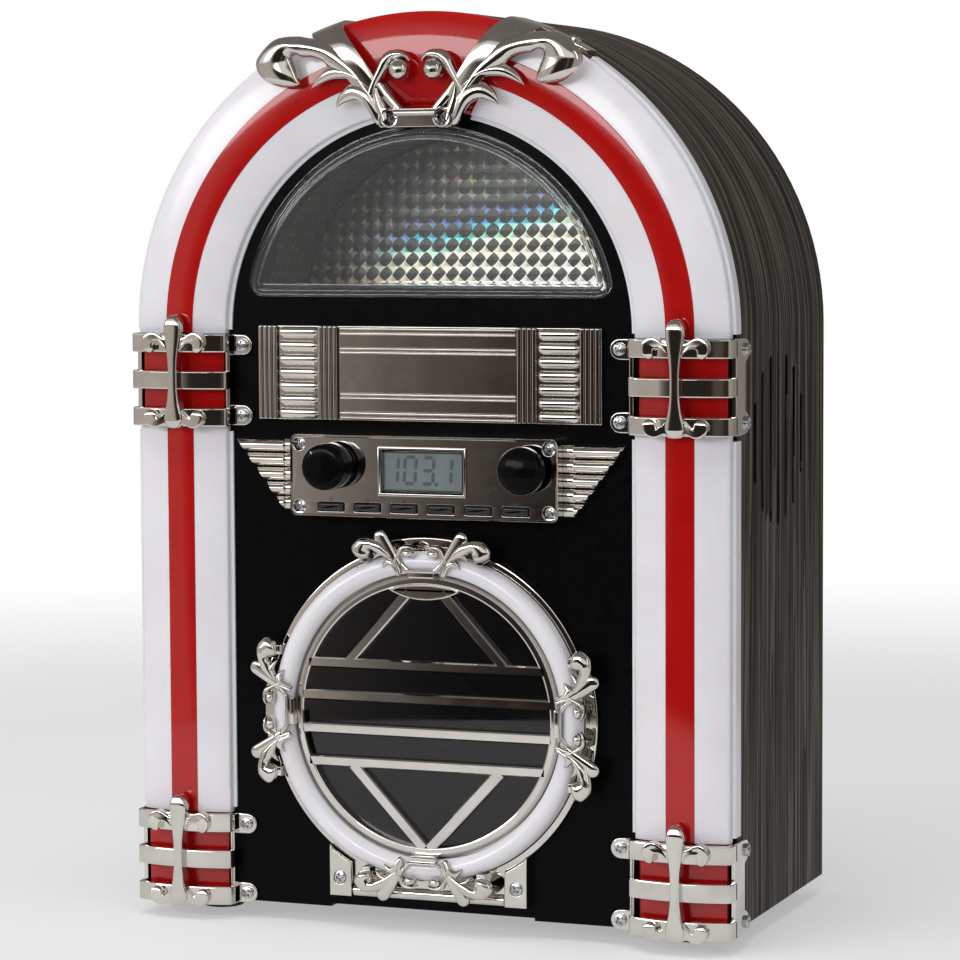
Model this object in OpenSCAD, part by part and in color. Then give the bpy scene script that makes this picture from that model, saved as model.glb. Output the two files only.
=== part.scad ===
// Tabletop arched CD jukebox: wooden wrap, black front, light tubes, chrome trim, drop-down disc door.
// Millimetres. X to the right, Y to the back, Z up from the table.

/* [Cabinet] */
// Outside width of the wooden wrap
cabinet_w = 252; // [246:1:264]
// Height of the arch centre above the table
arch_z = 241; // [236:1:250]
// Depth of the wooden wrap
wood_depth = 122.8; // [112:0.1:140]
// Thickness of the wooden wrap and the base board
wood_t = 9; // [7:0.5:11]
// Height of the feet
foot_h = 8; // [6:0.5:11]
// Diameter of a foot
foot_d = 18.5; // [14:0.5:22]
// Distance of a foot's centre from the cabinet's outside
foot_inset = 22; // [16:1:30]
// Thickness of the rear cover
rear_cover_t = 4; // [3:0.5:5]
// Width of the rebate that the rear cover lies in
rebate_w = 5; // [4.5:0.5:6]
// How far the rear cover lies inside the back edge
rear_recess = 2; // [1.8:0.1:3]

/* [Side grilles] */
// Distance of the grille's centre behind the panel face
grille_y = 61.9; // [56:0.1:70]
// Height of the grille's centre
grille_z = 197.2; // [185:0.1:199]
// Distance between slots
slot_pitch = 10.85; // [9:0.05:12]
// Width of a slot
slot_w = 3.8; // [2:0.1:4.4]
// Radius of the circle that the slots fill
grille_r = 35; // [30:0.5:37]

/* [Front panel] */
// Thickness of the front panel
panel_t = 5.6; // [4:0.1:7]
// How far the panel hangs below the wooden wrap
panel_drop = 0.8; // [0:0.1:2]

/* [Light tubes] */
// Width of a light tube across its body
tube_w = 39; // [37:0.5:42]
// Height of the tube's crest in front of the panel
tube_crest = 6.4; // [5.5:0.1:9]
// Wall of the tube lenses
tube_wall = 2.4; // [2:0.1:3]
// Radius of the tube's flat crown
crown_r = 60; // [50:1:90]
// Radius of the tube's shoulders
shoulder_r = 5; // [4.4:0.1:5.4]
// Width of the thin lips along the lenses
lip_w = 1.6; // [1.2:0.1:2.5]
// Width of the red stripe
stripe_w = 12; // [8:0.5:14]
// Depth of the red stripe in the lens
stripe_t = 1.2; // [0.8:0.1:1.4]

/* [Tube clamps] */
// Height of a clamp
clamp_h = 37.5; // [34:0.5:39]
// Height of the upper clamps' centre
upper_clamp_z = 220.6; // [218:0.1:221]
// Height of the lower clamps' centre
lower_clamp_z = 24.8; // [24:0.1:30]
// Height of one clamp band
band_h = 7.5; // [6:0.1:9]
// Thickness of the clamp bands
band_t = 1.8; // [1.4:0.1:2.6]
// Gap between the tube's crest and the bands
band_gap = 2.8; // [0.5:0.1:4]
// Distance between a clamp's two screws
clamp_screw_pitch = 28.5; // [26:0.1:30]
// Diameter of the clamp's round screw ears
clamp_ear_d = 8.4; // [7:0.1:9]
// Reach of the inner screws from the clamp's inner side
clamp_ear_reach = 4.6; // [3:0.1:5.5]
// Depth of the outer screws behind the panel face
side_screw_y = 11.9; // [11:0.1:14]
// Thickness of the relief ornament on a clamp
fleur_t = 5; // [3:0.1:6]

/* [Window] */
// Margin between the window and the light tube
window_margin = 7.6; // [6:0.1:9]
// Height of the window's arc centre above the arch centre
window_lift = 2.1; // [0:0.1:3]
// Rim of the window on the panel
window_rim = 3.4; // [2.5:0.1:4]
// Thickness of the window's rim
window_t = 1.8; // [1.2:0.1:2.4]
// Depth of the light box behind the window
box_depth = 50; // [40:1:60]

/* [Nameplate grille] */
// Height of the nameplate grille
plate_h = 37.85; // [35:0.05:40]
// Gap between the nameplate and the clamps
plate_margin = 3.2; // [2.5:0.1:8]
// Gap between the control fascia and the nameplate
plate_gap = 5.35; // [4:0.05:7]
// Gap between the nameplate and the window
window_gap = 11.5; // [9:0.1:13]
// Thickness of the nameplate's back
plate_t = 1.6; // [1.2:0.1:2]
// Height of its ribs above the back
rib_rise = 1.7; // [1:0.1:2.5]
// Number of ribs in a side field
rib_count = 7; // [5:1:9]

/* [Control fascia] */
// Width of the control fascia
fascia_w = 114.6; // [112:0.1:122]
// Height of the control fascia
fascia_h = 33; // [32:0.1:35]
// How far the fascia stands in front of the panel
fascia_rise = 7.5; // [7:0.1:9]
// Wall of the fascia
fascia_wall = 1.6; // [1.2:0.1:1.8]
// Gap between the door's rim and the fascia
fascia_gap = 10; // [8:0.1:12]
// Margin between the wing tips and the light tubes
wing_margin = 2; // [0.3:0.1:4]
// Width of the display's bezel
lcd_w = 37.6; // [34:0.1:38]
// Height of the display's bezel
lcd_h = 19.6; // [18:0.1:20]
// Left knob's distance from the middle
volume_x = 38; // [36:0.1:42]
// Right button's distance from the middle
light_x = 44; // [42:0.1:45]
// Diameter of the knob and the round button
knob_d = 19; // [16:0.1:20]
// Length of the knob
knob_len = 12.2; // [10:0.1:14]
// Gap between the knob and the fascia
knob_gap = 0.8; // [0.5:0.1:1.5]
// Diameter of the knob's shaft
shaft_d = 6; // [5:0.1:6]
// Travel of the round button
light_travel = 3; // [2:0.1:3.5]
// Width of one key
key_w = 10.9; // [9:0.1:12]
// Height of one key
key_h = 3.1; // [2.6:0.1:3.3]
// Distance between keys
key_pitch = 15.75; // [14.5:0.05:16.5]
// Travel of a key
key_travel = 0.8; // [0.5:0.1:0.9]

/* [Disc door] */
// Height of the door's centre
door_z = 87.7; // [86:0.1:90]
// Radius of the door's outer rim
door_r = 69; // [68:0.1:71]
// Outer radius of the light ring
ring_r = 66; // [65:0.1:67]
// Inner radius of the light ring
ring_in_r = 57.5; // [57:0.1:58.5]
// Height of the light ring's crest in front of the panel
ring_crest = 9; // [8.5:0.1:10]
// Outer radius of the inner frame
frame_r = 56.9; // [56:0.1:57]
// Width of the inner frame
frame_w = 4.1; // [3.5:0.1:4.5]
// Front of the inner frame before the panel
frame_rise = 6; // [5.5:0.1:7]
// Height of the four bars
bar_h = 4.1; // [3:0.1:5]
// Distance between the two middle bars
bar_pitch = 13.5; // [12:0.1:14]
// Distance of the outer bars from the door's centre
outer_bar = 20; // [18:0.1:22]
// Width of the slanted struts
strut_w = 4; // [3:0.1:5]
// Height of the hinge axis
hinge_z = 15.2; // [14.5:0.1:16]
// Distance of the hinge axis before the panel
hinge_p = 2.8; // [2.7:0.05:3.2]
// Radius of the hinge knuckle
knuckle_r = 2.3; // [2:0.05:2.4]
// Diameter of the hinge pin
pin_d = 2; // [1.6:0.1:2.2]
// Outer half width of the hinge ears
ear_out = 42.4; // [41:0.1:44]
// Inner half width of the hinge ears
ear_in = 33; // [31:0.1:34]
// Thickness of the hinge ears
ear_t = 5.2; // [5.1:0.1:6]

/* [Disc drive] */
// Radius of the opening for a disc
disc_hole_r = 63; // [61.5:0.1:64]
// Depth of the disc well's floor behind the panel face
well_depth = 13; // [12:0.1:15]
// Diameter of the disc platform
platform_d = 30; // [26:0.5:32]
// Travel of the pickup
pickup_travel = 34; // [28:0.5:35]
// Diameter of the guide rods
rod_d = 3; // [2.5:0.1:4]
// Distance of each guide rod from the disc axis
rod_z = 16; // [15:0.1:18]
// Tooth module of the pickup's rack and gear
tooth_m = 1; // [0.9:0.05:1.1]
// Teeth on the pickup's gear
gear_teeth = 14; // [12:1:18]

/* [Speakers] */
// Outer radius of a speaker's flange
speaker_r = 45; // [43:0.5:47]
// Depth of a speaker
speaker_depth = 34; // [28:0.5:38]

/* [Fits] */
// Clearance of a sliding or swinging piece
run_gap = 0.35; // [0.3:0.01:0.5]
// Clearance of a seated piece
seat_gap = 0.1; // [0.05:0.01:0.15]
// Radial clearance of a shaft or pin
shaft_gap = 0.05; // [0.03:0.01:0.08]
// Diameter of a small screw's shank
screw_d = 2.5; // [2:0.1:3]
// Diameter of a small screw's head
head_d = 5; // [4:0.1:5.2]
// Height of a small screw's head
head_h = 1.6; // [1:0.1:1.8]

/* [Hidden] */
$fn = 64;
half_w = cabinet_w / 2;
tube_out = half_w;
tube_in = tube_out - tube_w;
tube_mid = tube_out - tube_w / 2;
panel_half = half_w - tube_wall;
clamp_in = tube_in - band_t;
clamp_screw_x = clamp_in - clamp_ear_reach;
clamp_tab_x = clamp_screw_x - clamp_ear_d / 2;
clamp_crest = tube_crest + band_gap + band_t;
band_pitch = (clamp_h - band_h) / 2;
clamp_list = [[1, upper_clamp_z], [-1, upper_clamp_z], [1, lower_clamp_z], [-1, lower_clamp_z]];

// Stack of the front, from the door up
fascia_z = door_z + door_r + fascia_gap + fascia_h / 2;
fascia_top = fascia_z + fascia_h / 2;
plate_z = fascia_top + plate_gap + plate_h / 2;
plate_half = clamp_tab_x - plate_margin;
window_z = plate_z + plate_h / 2 + window_gap;
window_r = tube_in - window_margin;
window_c = arch_z + window_lift;
window_top = window_c + window_r;
opening_r = window_r - window_rim;

// The model is centred on its whole depth: knob front to cabinet back
knob_front = fascia_rise + knob_gap + knob_len;
back_y = panel_t + wood_depth;
face_y = (knob_front - back_y) / 2;

cover_front = back_y - rear_recess - rear_cover_t;
inner_half = half_w - wood_t;
base_top = foot_h + wood_t;
rear_screw_r = inner_half + rebate_w / 2;
panel_screw_r = panel_half - head_d / 2 - 0.6;
pilot_d = screw_d + 2 * seat_gap;

key_z = fascia_z - fascia_h / 2 + 4.1;
lcd_z = fascia_z + 2.3;
knob_z = fascia_z + 4.2;
fascia_screw_x = fascia_w / 2 - 4;
fascia_screw_z = fascia_h / 2 - 3.9;
fascia_screws = [for (s = [-1, 1], t = [-1, 1]) [s * fascia_screw_x, fascia_z + t * fascia_screw_z]];
board_t = 1.6;
boss_d = head_d + 2.4;
fascia_sink = 3.2;
ear_sink = 1.4;
board_half = fascia_screw_x - boss_d / 2 - 0.4;
cutout_half = board_half - 1.6;
cutout_h = fascia_h - 10;

door_back = 0.5;
flange_front = 2.6;
frame_in = frame_r - frame_w;
bar_back = 3.2;
ear_bottom = hinge_z - knuckle_r;
ear_screw = [(ear_in + ear_out) / 2 + 0.3, hinge_z + 5.2];
motif_scale = 0.43;
motif_base_r = ring_in_r - 0.9;

rack_pitch = PI * tooth_m;
gear_r = gear_teeth * tooth_m / 2;
backlash = 0.3 * tooth_m;
tooth_add = 0.8 * tooth_m;
tooth_ded = 1.15 * tooth_m;
tooth_half = (rack_pitch / 2 - backlash) / 2;
sled_x = 24;
sled_half = 9;
sled_floor = well_depth + 2;
rod_y = sled_floor + 5.5;
chassis_y = sled_floor + 11;
rack_z = -rod_z - 8;
gear_x = sled_x + pickup_travel / 2;

// Plan helpers
module both_sides() {
  children();
  mirror([1, 0, 0]) children();
}

// Turns a drawing in X and Z into a plate between two heights before the panel face
module on_face(p0, p1) {
  translate([0, face_y - p0, 0]) rotate([90, 0, 0]) linear_extrude(p1 - p0) children();
}

// A round bar along Y
module peg(x, z, p0, p1, d) {
  translate([x, face_y - p0, z]) rotate([90, 0, 0]) cylinder(d = d, h = p1 - p0);
}

// A round bar along X, from x0 to x1
module rod(x0, x1, p, z, d) {
  translate([x0, face_y - p, z]) rotate([0, 90, 0]) cylinder(d = d, h = x1 - x0);
}

// A box with its corners given before the panel face
module block(x0, x1, p0, p1, z0, z1) {
  translate([x0, face_y - p1, z0]) cube([x1 - x0, p1 - p0, z1 - z0]);
}

// A solid along the right-hand tube, its section drawn as distance from the middle and height
module column(z0, h) {
  translate([0, face_y, z0]) mirror([0, 1, 0]) linear_extrude(h) children();
}

// The same section swept round the arch, from angle a0 by angle a
module arch_sweep(a0, a) {
  translate([0, face_y, arch_z]) rotate([90, 0, 0]) rotate([0, 0, a0]) rotate_extrude(angle = a, $fn = 128)
    children();
}

module rrect(w, h, r) {
  square([w - 2 * r, h], center = true);
  square([w, h - 2 * r], center = true);
  for (s = [-1, 1], t = [-1, 1]) translate([s * (w / 2 - r), t * (h / 2 - r)]) circle(r);
}

module ring(r0, r1) {
  difference() {
    circle(r1);
    circle(r0);
  }
}

module arch_shape(half, z0) {
  translate([-half, z0]) square([2 * half, arch_z - z0]);
  translate([0, arch_z]) circle(half, $fn = 128);
}

module half_moon(r, z0) {
  intersection() {
    translate([0, window_c]) circle(r, $fn = 128);
    translate([-r, z0]) square([2 * r, window_c + r - z0]);
  }
}

// Quadratic curve from a to c with its control point b, without its last point
function curve(a, b, c, n = 7) =
  [for (i = [0 : n - 1]) let (t = i / n) (1 - t) * (1 - t) * a + 2 * t * (1 - t) * b + t * t * c];

// Small screw along Y with its head seated at height p
module screw(x, z, p, len) {
  peg(x, z, p, p + head_h, head_d);
  peg(x, z, p - len, p + head_h / 2, screw_d);
}

// Small screw that ends just inside the front panel's back
module panel_screw(x, z, p) {
  screw(x, z, p, p + panel_t - 0.3);
}

// Small screw along X on the right-hand side, its head seated at x
module side_screw(x, p, z, len) {
  rod(x, x + head_h, p, z, head_d);
  rod(x - len, x + head_h / 2, p, z, screw_d);
}

// Tube section: a wide flat crown with round shoulders; inset shrinks it, rise lifts it, drop lowers its foot
module tube_section(inset = 0, rise = 0, drop = 0) {
  half = tube_w / 2 - inset;
  r = shoulder_r - inset;
  top = tube_crest + rise - inset;
  translate([tube_mid, 0]) intersection() {
    translate([0, tube_crest + rise - crown_r]) circle(crown_r - inset, $fn = 128);
    translate([-half, -drop]) square([2 * half, top + drop]);
    union() {
      translate([-half, -drop]) square([2 * half, top - r + drop]);
      translate([r - half, -drop]) square([2 * (half - r), top + drop]);
      for (s = [-1, 1]) translate([s * (half - r), top - r]) circle(r);
    }
  }
}

module stripe_zone(w) {
  translate([tube_mid - w / 2, 0]) square([w, 2 * tube_crest]);
}

// Lens wall with the stripe's groove and the outer wall that covers the panel's edge
module lens_section(grooved = true) {
  difference() {
    union() {
      tube_section();
      translate([tube_out - tube_wall + seat_gap, -panel_t]) square([tube_wall - seat_gap, panel_t + 1]);
    }
    tube_section(tube_wall, drop = 1);
    if (grooved) difference() {
      stripe_zone(stripe_w);
      tube_section(stripe_t);
    }
  }
}

module lens_lips() {
  translate([tube_in - lip_w, 0]) square([lip_w + 0.5, 1.2]);
  translate([tube_out - 0.5, -panel_t]) square([lip_w + 0.5, panel_t + 1.2]);
}

module stripe_section() {
  intersection() {
    stripe_zone(stripe_w - 2 * seat_gap);
    difference() {
      tube_section();
      tube_section(stripe_t - seat_gap);
    }
  }
}

// Cabinet
function rear_screws() = concat(
  [for (s = [-1, 1], z = [base_top + 23, base_top + 113, arch_z - 21]) [s * rear_screw_r, z]],
  [for (a = [40, 90, 140]) [rear_screw_r * cos(a), arch_z + rear_screw_r * sin(a)]]);

function panel_screws() = concat(
  [for (s = [-1, 1], t = [0.1, 0.5, 0.9]) [s * panel_screw_r, column_low + t * (column_high - column_low)]],
  [for (a = [20, 45, 135, 160]) [panel_screw_r * cos(a), arch_z + panel_screw_r * sin(a)]]);

lug_angle = 27.2;
lug_y = 10;
speaker_screw_r = speaker_r - 4;
flange_t = 2;
speaker_seat = inner_half - 0.3;
speaker_face = speaker_seat - flange_t;
wood_screw_len = 14;

// Places children at a crown lug's screw, with Z pointing out of the cabinet's top
module at_lug() {
  translate([0, face_y + lug_y, arch_z]) rotate([0, lug_angle, 0]) translate([0, 0, half_w]) children();
}

module speaker_holes(d, x0, x1) {
  for (a = [45 : 90 : 315])
    rod(x0, x1, -grille_y + speaker_screw_r * cos(a), grille_z + speaker_screw_r * sin(a), d);
}

// Vertical round-ended slots that fill a circle
module grille_slots() {
  for (k = [-3 : 3]) {
    reach = sqrt(pow(grille_r + slot_pitch / 4, 2) - pow(k * slot_pitch, 2)) - slot_pitch / 4;
    y = face_y + grille_y + k * slot_pitch;
    translate([inner_half - 1, y - slot_w / 2, grille_z - reach + slot_w / 2])
      cube([wood_t + 2, slot_w, 2 * reach - slot_w]);
    for (z = [grille_z - reach + slot_w / 2, grille_z + reach - slot_w / 2])
      rod(inner_half - 1, half_w + 1, -grille_y - k * slot_pitch, z, slot_w);
  }
}

module cabinet_wrap() {
  color("#3b3733") difference() {
    on_face(-back_y, -panel_t) difference() {
      arch_shape(half_w, foot_h);
      arch_shape(inner_half, foot_h - 1);
    }
    on_face(-back_y - 1, -cover_front) arch_shape(inner_half + rebate_w, foot_h - 1);
    both_sides() grille_slots();
    both_sides() speaker_holes(pilot_d, inner_half - 1, inner_half + 6);
    for (q = rear_screws()) peg(q.x, q.y, -cover_front - 1, -cover_front + wood_screw_len, pilot_d);
    for (q = panel_screws()) peg(q.x, q.y, -panel_t - wood_screw_len, -panel_t + 1, pilot_d);
    both_sides() for (zc = [upper_clamp_z, lower_clamp_z], s = [-1, 1])
      rod(half_w - 7, half_w + 1, -side_screw_y, zc + s * clamp_screw_pitch / 2, pilot_d);
    both_sides() at_lug() translate([0, 0, -7]) cylinder(d = pilot_d, h = 8);
  }
}

module base_board() {
  color("#2f2c29")
    block(-inner_half, inner_half, -cover_front, -panel_t, foot_h, base_top);
}

socket_inset = 39;
inlet_x = socket_inset - inner_half;
inlet_z = base_top + 25;
inlet_w = 26;
inlet_h = 16;
jack_x = inner_half - socket_inset;
jack_d = 10;
vent_pitch = 14;

module rear_cover() {
  color("#1d1c1b") difference() {
    on_face(-cover_front - rear_cover_t, -cover_front)
      arch_shape(inner_half + rebate_w - seat_gap, foot_h + 0.5);
    for (q = rear_screws()) peg(q.x, q.y, -back_y, -cover_front + 1, pilot_d);
    for (r = [0 : 3], k = [-4 : 4])
      on_face(-back_y, -cover_front + 1) translate([k * vent_pitch, grille_z + (r - 3.4) * vent_pitch])
        rrect(9, 3.4, 1.6);
    block(inlet_x - inlet_w / 2, inlet_x + inlet_w / 2, -back_y, -cover_front + 1,
      inlet_z - inlet_h / 2, inlet_z + inlet_h / 2);
    peg(jack_x, inlet_z, -back_y, -cover_front + 1, jack_d + 2 * seat_gap);
  }
}

module wood_screws() {
  color("#8a8580") {
    for (q = rear_screws())
      translate([0, 2 * face_y + 2 * (cover_front + rear_cover_t), 0]) mirror([0, 1, 0])
        screw(q.x, q.y, -cover_front - rear_cover_t, wood_screw_len);
    for (q = panel_screws()) screw(q.x, q.y, 0, panel_t + wood_screw_len - 2);
    both_sides() for (a = [45 : 90 : 315]) mirror([1, 0, 0])
      translate([-2 * speaker_face, 0, 0])
        side_screw(speaker_face, -grille_y + speaker_screw_r * cos(a),
          grille_z + speaker_screw_r * sin(a), 7);
  }
}

module feet() {
  front_foot = face_y + panel_t + foot_inset - 5;
  rear_foot = face_y + back_y - foot_inset;
  color("#161616") for (s = [-1, 1], y = [front_foot, rear_foot])
    translate([s * (half_w - foot_inset - 1), y, 0]) rotate_extrude()
      polygon([[0, 0], [foot_d / 2 - 1, 0], [foot_d / 2, 1], [foot_d / 2, foot_h], [0, foot_h]]);
}

// Front panel
notch_half = 44;
notch_h = 1.2;
latch_w = 8;
latch_z = door_z + door_r - 1.2;
tongue_h = 2.4;

module front_panel() {
  low = foot_h - panel_drop;
  color("#101012") difference() {
    on_face(-panel_t, 0) difference() {
      arch_shape(panel_half, low);
      translate([-notch_half, low - 1]) square([2 * notch_half, 1 + notch_h]);
      half_moon(opening_r, window_z + window_rim);
      translate([-cutout_half, fascia_z - cutout_h / 2]) square([2 * cutout_half, cutout_h]);
      translate([-volume_x - pot_half - pot_fit, knob_z - pot_half - pot_fit])
        square([2 * (pot_half + pot_fit), pot_half + pot_top + 2 * pot_fit]);
      translate([light_x, knob_z]) square(2 * (switch_half + pot_fit), center = true);
      translate([0, door_z]) circle(disc_hole_r, $fn = 128);
      translate([-latch_w / 2 - 1, latch_z - 1.2]) square([latch_w + 2, tongue_h + 3.2]);
    }
    for (q = panel_screws()) peg(q.x, q.y, -panel_t - 1, 1, pilot_d);
    for (q = fascia_screws) peg(q.x, q.y, -panel_t - 1, 1, pilot_d);
    both_sides() {
      for (zc = [upper_clamp_z, lower_clamp_z], s = [-1, 1])
        peg(clamp_screw_x, zc + s * clamp_screw_pitch / 2, -panel_t - 1, 1, pilot_d);
      peg(ear_screw.x, ear_screw.y, -panel_t - 1, 1, pilot_d);
      peg(crown_screw_x, crown_screw_z, -panel_t - 1, 1, pilot_d);
    }
  }
}

// Light tubes
column_low = lower_clamp_z + clamp_h / 2 + seat_gap;
column_high = upper_clamp_z - clamp_h / 2 - seat_gap;
arch_low = upper_clamp_z + clamp_h / 2 + seat_gap;
lip_gap = 2;
lip_end = 57;

// Wedge over the crown, wider by grow on each side
crown_z = window_top + 0.3;
wedge_foot = 15;
wedge_lean = 33.4;
module crown_wedge(grow) {
  far = half_w;
  on_face(-panel_t - 1, 3 * tube_crest)
    polygon([[-wedge_foot - grow, crown_z - 4], [wedge_foot + grow, crown_z - 4],
      [wedge_foot + grow + far * tan(wedge_lean), crown_z - 4 + far],
      [-wedge_foot - grow - far * tan(wedge_lean), crown_z - 4 + far]]);
}

module column_lens() {
  color("#dcd8e0") {
    column(column_low, column_high - column_low) lens_section();
    column(column_low + lip_gap, column_high - column_low - 2 * lip_gap) lens_lips();
  }
}

module left_column_lens() { mirror([1, 0, 0]) column_lens(); }
module right_column_lens() { column_lens(); }

module arch_lenses() {
  color("#dcd8e0") both_sides() {
    difference() {
      union() {
        arch_sweep(0, 80) lens_section();
        if (arch_low < arch_z) column(arch_low, arch_z - arch_low) lens_section();
      }
      crown_wedge(0);
    }
    arch_sweep(0, lip_end) lens_lips();
  }
}

module red_stripes() {
  color("#b01414") both_sides() {
    column(column_low, column_high - column_low) stripe_section();
    difference() {
      union() {
        arch_sweep(0, 80) stripe_section();
        if (arch_low < arch_z) column(arch_low, arch_z - arch_low) stripe_section();
      }
      crown_wedge(0);
    }
  }
}

insert_inset = 1.5;
insert_wall = 1.8;
module clamp_inserts() {
  color("#b01414") both_sides() for (zc = [upper_clamp_z, lower_clamp_z])
    column(zc - clamp_h / 2, clamp_h) difference() {
      tube_section(insert_inset);
      tube_section(insert_inset + insert_wall, drop = 1);
    }
}

strip_half = 6;
strip_t = 1.2;
led_d = 4;
led_h = 2;
module light_boards() {
  color("#d8d8c8") both_sides() {
    block(tube_mid - strip_half, tube_mid + strip_half, 0, strip_t,
      column_low + 8, column_high - 8);
    for (z = [column_low + 18 : 20 : column_high - 14])
      peg(tube_mid, z, strip_t / 2, strip_t + led_h, led_d);
    arch_sweep(6, 50) translate([tube_mid - strip_half, 0]) square([2 * strip_half, strip_t]);
    for (a = [11 : 10 : 51])
      peg(tube_mid * cos(a), arch_z + tube_mid * sin(a), strip_t / 2, strip_t + led_h, led_d);
  }
}

// Clamps
module clamp_section() {
  difference() {
    union() {
      tube_section(-band_t, band_gap);
      translate([tube_out, -side_screw_y]) square([band_t, side_screw_y + 2]);
    }
    tube_section(0, band_gap, drop = 1);
  }
}

// Relief ornament of a clamp: spear, stem and four curled arms, about its own middle
module fleur() {
  arm_r = 5.6;
  arm_w = 2.7;
  arm_x = 7;
  tip = band_pitch + band_h / 2 + 7.9;
  spear_half = 9.7;
  spear_r = 15;
  translate([0, tip - spear_half]) intersection_for (s = [-1, 1])
    translate([s * sqrt(spear_r * spear_r - spear_half * spear_half), 0]) circle(spear_r);
  polygon([[-3, band_pitch], [-2.1, 3], [-2.1, -6], [-4.2, -band_pitch - 3.5], [4.2, -band_pitch - 3.5],
    [2.1, -6], [2.1, 3], [3, band_pitch]]);
  for (s = [-1, 1]) {
    translate([s * arm_x, band_pitch - 2]) {
      intersection() {
        ring(arm_r - arm_w, arm_r);
        translate([-arm_r, 0]) square([2 * arm_r, arm_r]);
      }
      translate([s * (arm_r - arm_w / 2), -0.6]) circle(2.3);
    }
    translate([s * arm_x, 2 - band_pitch]) {
      intersection() {
        ring(arm_r - arm_w, arm_r);
        translate([-arm_r, -arm_r]) square([2 * arm_r, arm_r]);
      }
      translate([s * (arm_r - arm_w / 2), 0.6]) circle(2.3);
    }
    translate([s * 2.2, -band_pitch - 2.2]) circle(2.4);
  }
}

tab_t = 1.6;
clamp_strip = 4.2;
fleur_x = tube_mid;
fleur_back = clamp_crest - 1.9;

module clamp(zc) {
  color("#c9c6c2") translate([0, 0, zc]) difference() {
    union() {
      for (k = [-1 : 1]) column(k * band_pitch - band_h / 2, band_h) clamp_section();
      column(-clamp_h / 2, clamp_h) {
        translate([clamp_in, 0]) square([band_t, clamp_strip]);
        translate([tube_out, -side_screw_y]) square([band_t, side_screw_y + 2]);
      }
      for (s = [-1, 1]) {
        on_face(0, tab_t) translate([0, s * clamp_screw_pitch / 2]) {
          translate([clamp_screw_x, 0]) circle(d = clamp_ear_d);
          translate([clamp_screw_x, -clamp_ear_d / 2]) square([clamp_in + 1 - clamp_screw_x, clamp_ear_d]);
        }
        rod(tube_out, tube_out + band_t, -side_screw_y, s * clamp_screw_pitch / 2, clamp_ear_d);
      }
      on_face(fleur_back, fleur_back + fleur_t) translate([fleur_x, 0]) fleur();
    }
    for (s = [-1, 1]) {
      peg(clamp_screw_x, s * clamp_screw_pitch / 2, -1, tab_t + 1, pilot_d);
      rod(tube_out - 1, tube_out + band_t + 1, -side_screw_y, s * clamp_screw_pitch / 2, pilot_d);
    }
  }
}

module upper_left_clamp() { mirror([1, 0, 0]) clamp(upper_clamp_z); }
module upper_right_clamp() { clamp(upper_clamp_z); }
module lower_left_clamp() { mirror([1, 0, 0]) clamp(lower_clamp_z); }
module lower_right_clamp() { clamp(lower_clamp_z); }

module trim_screws() {
  color("#a9a9ab") {
    both_sides() {
      for (zc = [upper_clamp_z, lower_clamp_z], s = [-1, 1]) {
        panel_screw(clamp_screw_x, zc + s * clamp_screw_pitch / 2, tab_t);
        side_screw(tube_out + band_t, -side_screw_y, zc + s * clamp_screw_pitch / 2, 8);
      }
      panel_screw(ear_screw.x, ear_screw.y, ear_t - ear_sink);
      panel_screw(crown_screw_x, crown_screw_z, crown_seat);
      at_lug() translate([0, 0, strap_t]) {
        cylinder(d = head_d, h = head_h);
        translate([0, 0, -6]) cylinder(d = screw_d, h = 6.5);
      }
    }
    for (q = fascia_screws) panel_screw(q.x, q.y, fascia_rise - fascia_sink);
  }
}

// Crown ornament: a bridge bar, two leaf-scroll arms and two straps over the arch
strap_t = 2;
crown_screw_x = 11;
crown_screw_z = crown_z + 2.2;
crown_seat = 6.5;
arm_lift = 3.7;
arm_back = tube_crest + arm_lift;
arm_front = arm_back + 5.2;
strap_a0 = 15.6;
strap_a1 = 21.4;

// Right-hand half of the leaf scroll, from its bar's lower middle
module scroll_arm() {
  polygon(concat(
    curve([14, 12], [29, 37], [53.3, 34.5]), curve([53.3, 34.5], [69, 34], [68.3, 24]),
    curve([68.3, 24], [67, 14], [52.1, 14.4]), curve([52.1, 14.4], [50.4, 21], [52.4, 26.5]),
    curve([52.4, 26.5], [44, 27.5], [37, 22]), curve([37, 22], [30, 18], [20, 11])));
  polygon(concat(curve([13, 10], [31, 22.5], [43.8, 14.5]), curve([43.8, 14.5], [30, 14], [16, 6])));
  polygon(concat(curve([11, 8], [27, 14], [31.7, 6.8]), curve([31.7, 6.8], [21, 9], [12, 0])));
}

module scroll_curl() {
  translate([7.2, 20.6]) circle(4);
  polygon(concat(curve([17.5, 10], [17, 28.9], [8.8, 28.9]), curve([8.8, 28.9], [3.6, 28.7], [2.6, 24.6]),
    curve([2.6, 24.6], [9.6, 27.4], [13, 10])));
}

module scroll_bar() {
  translate([-14.5, 0]) square([29, 6]);
  for (s = [0, 1]) mirror([s, 0]) polygon([[9.4, 5], [14.5, 0], [18, 10], [15, 14]]);
}

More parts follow.
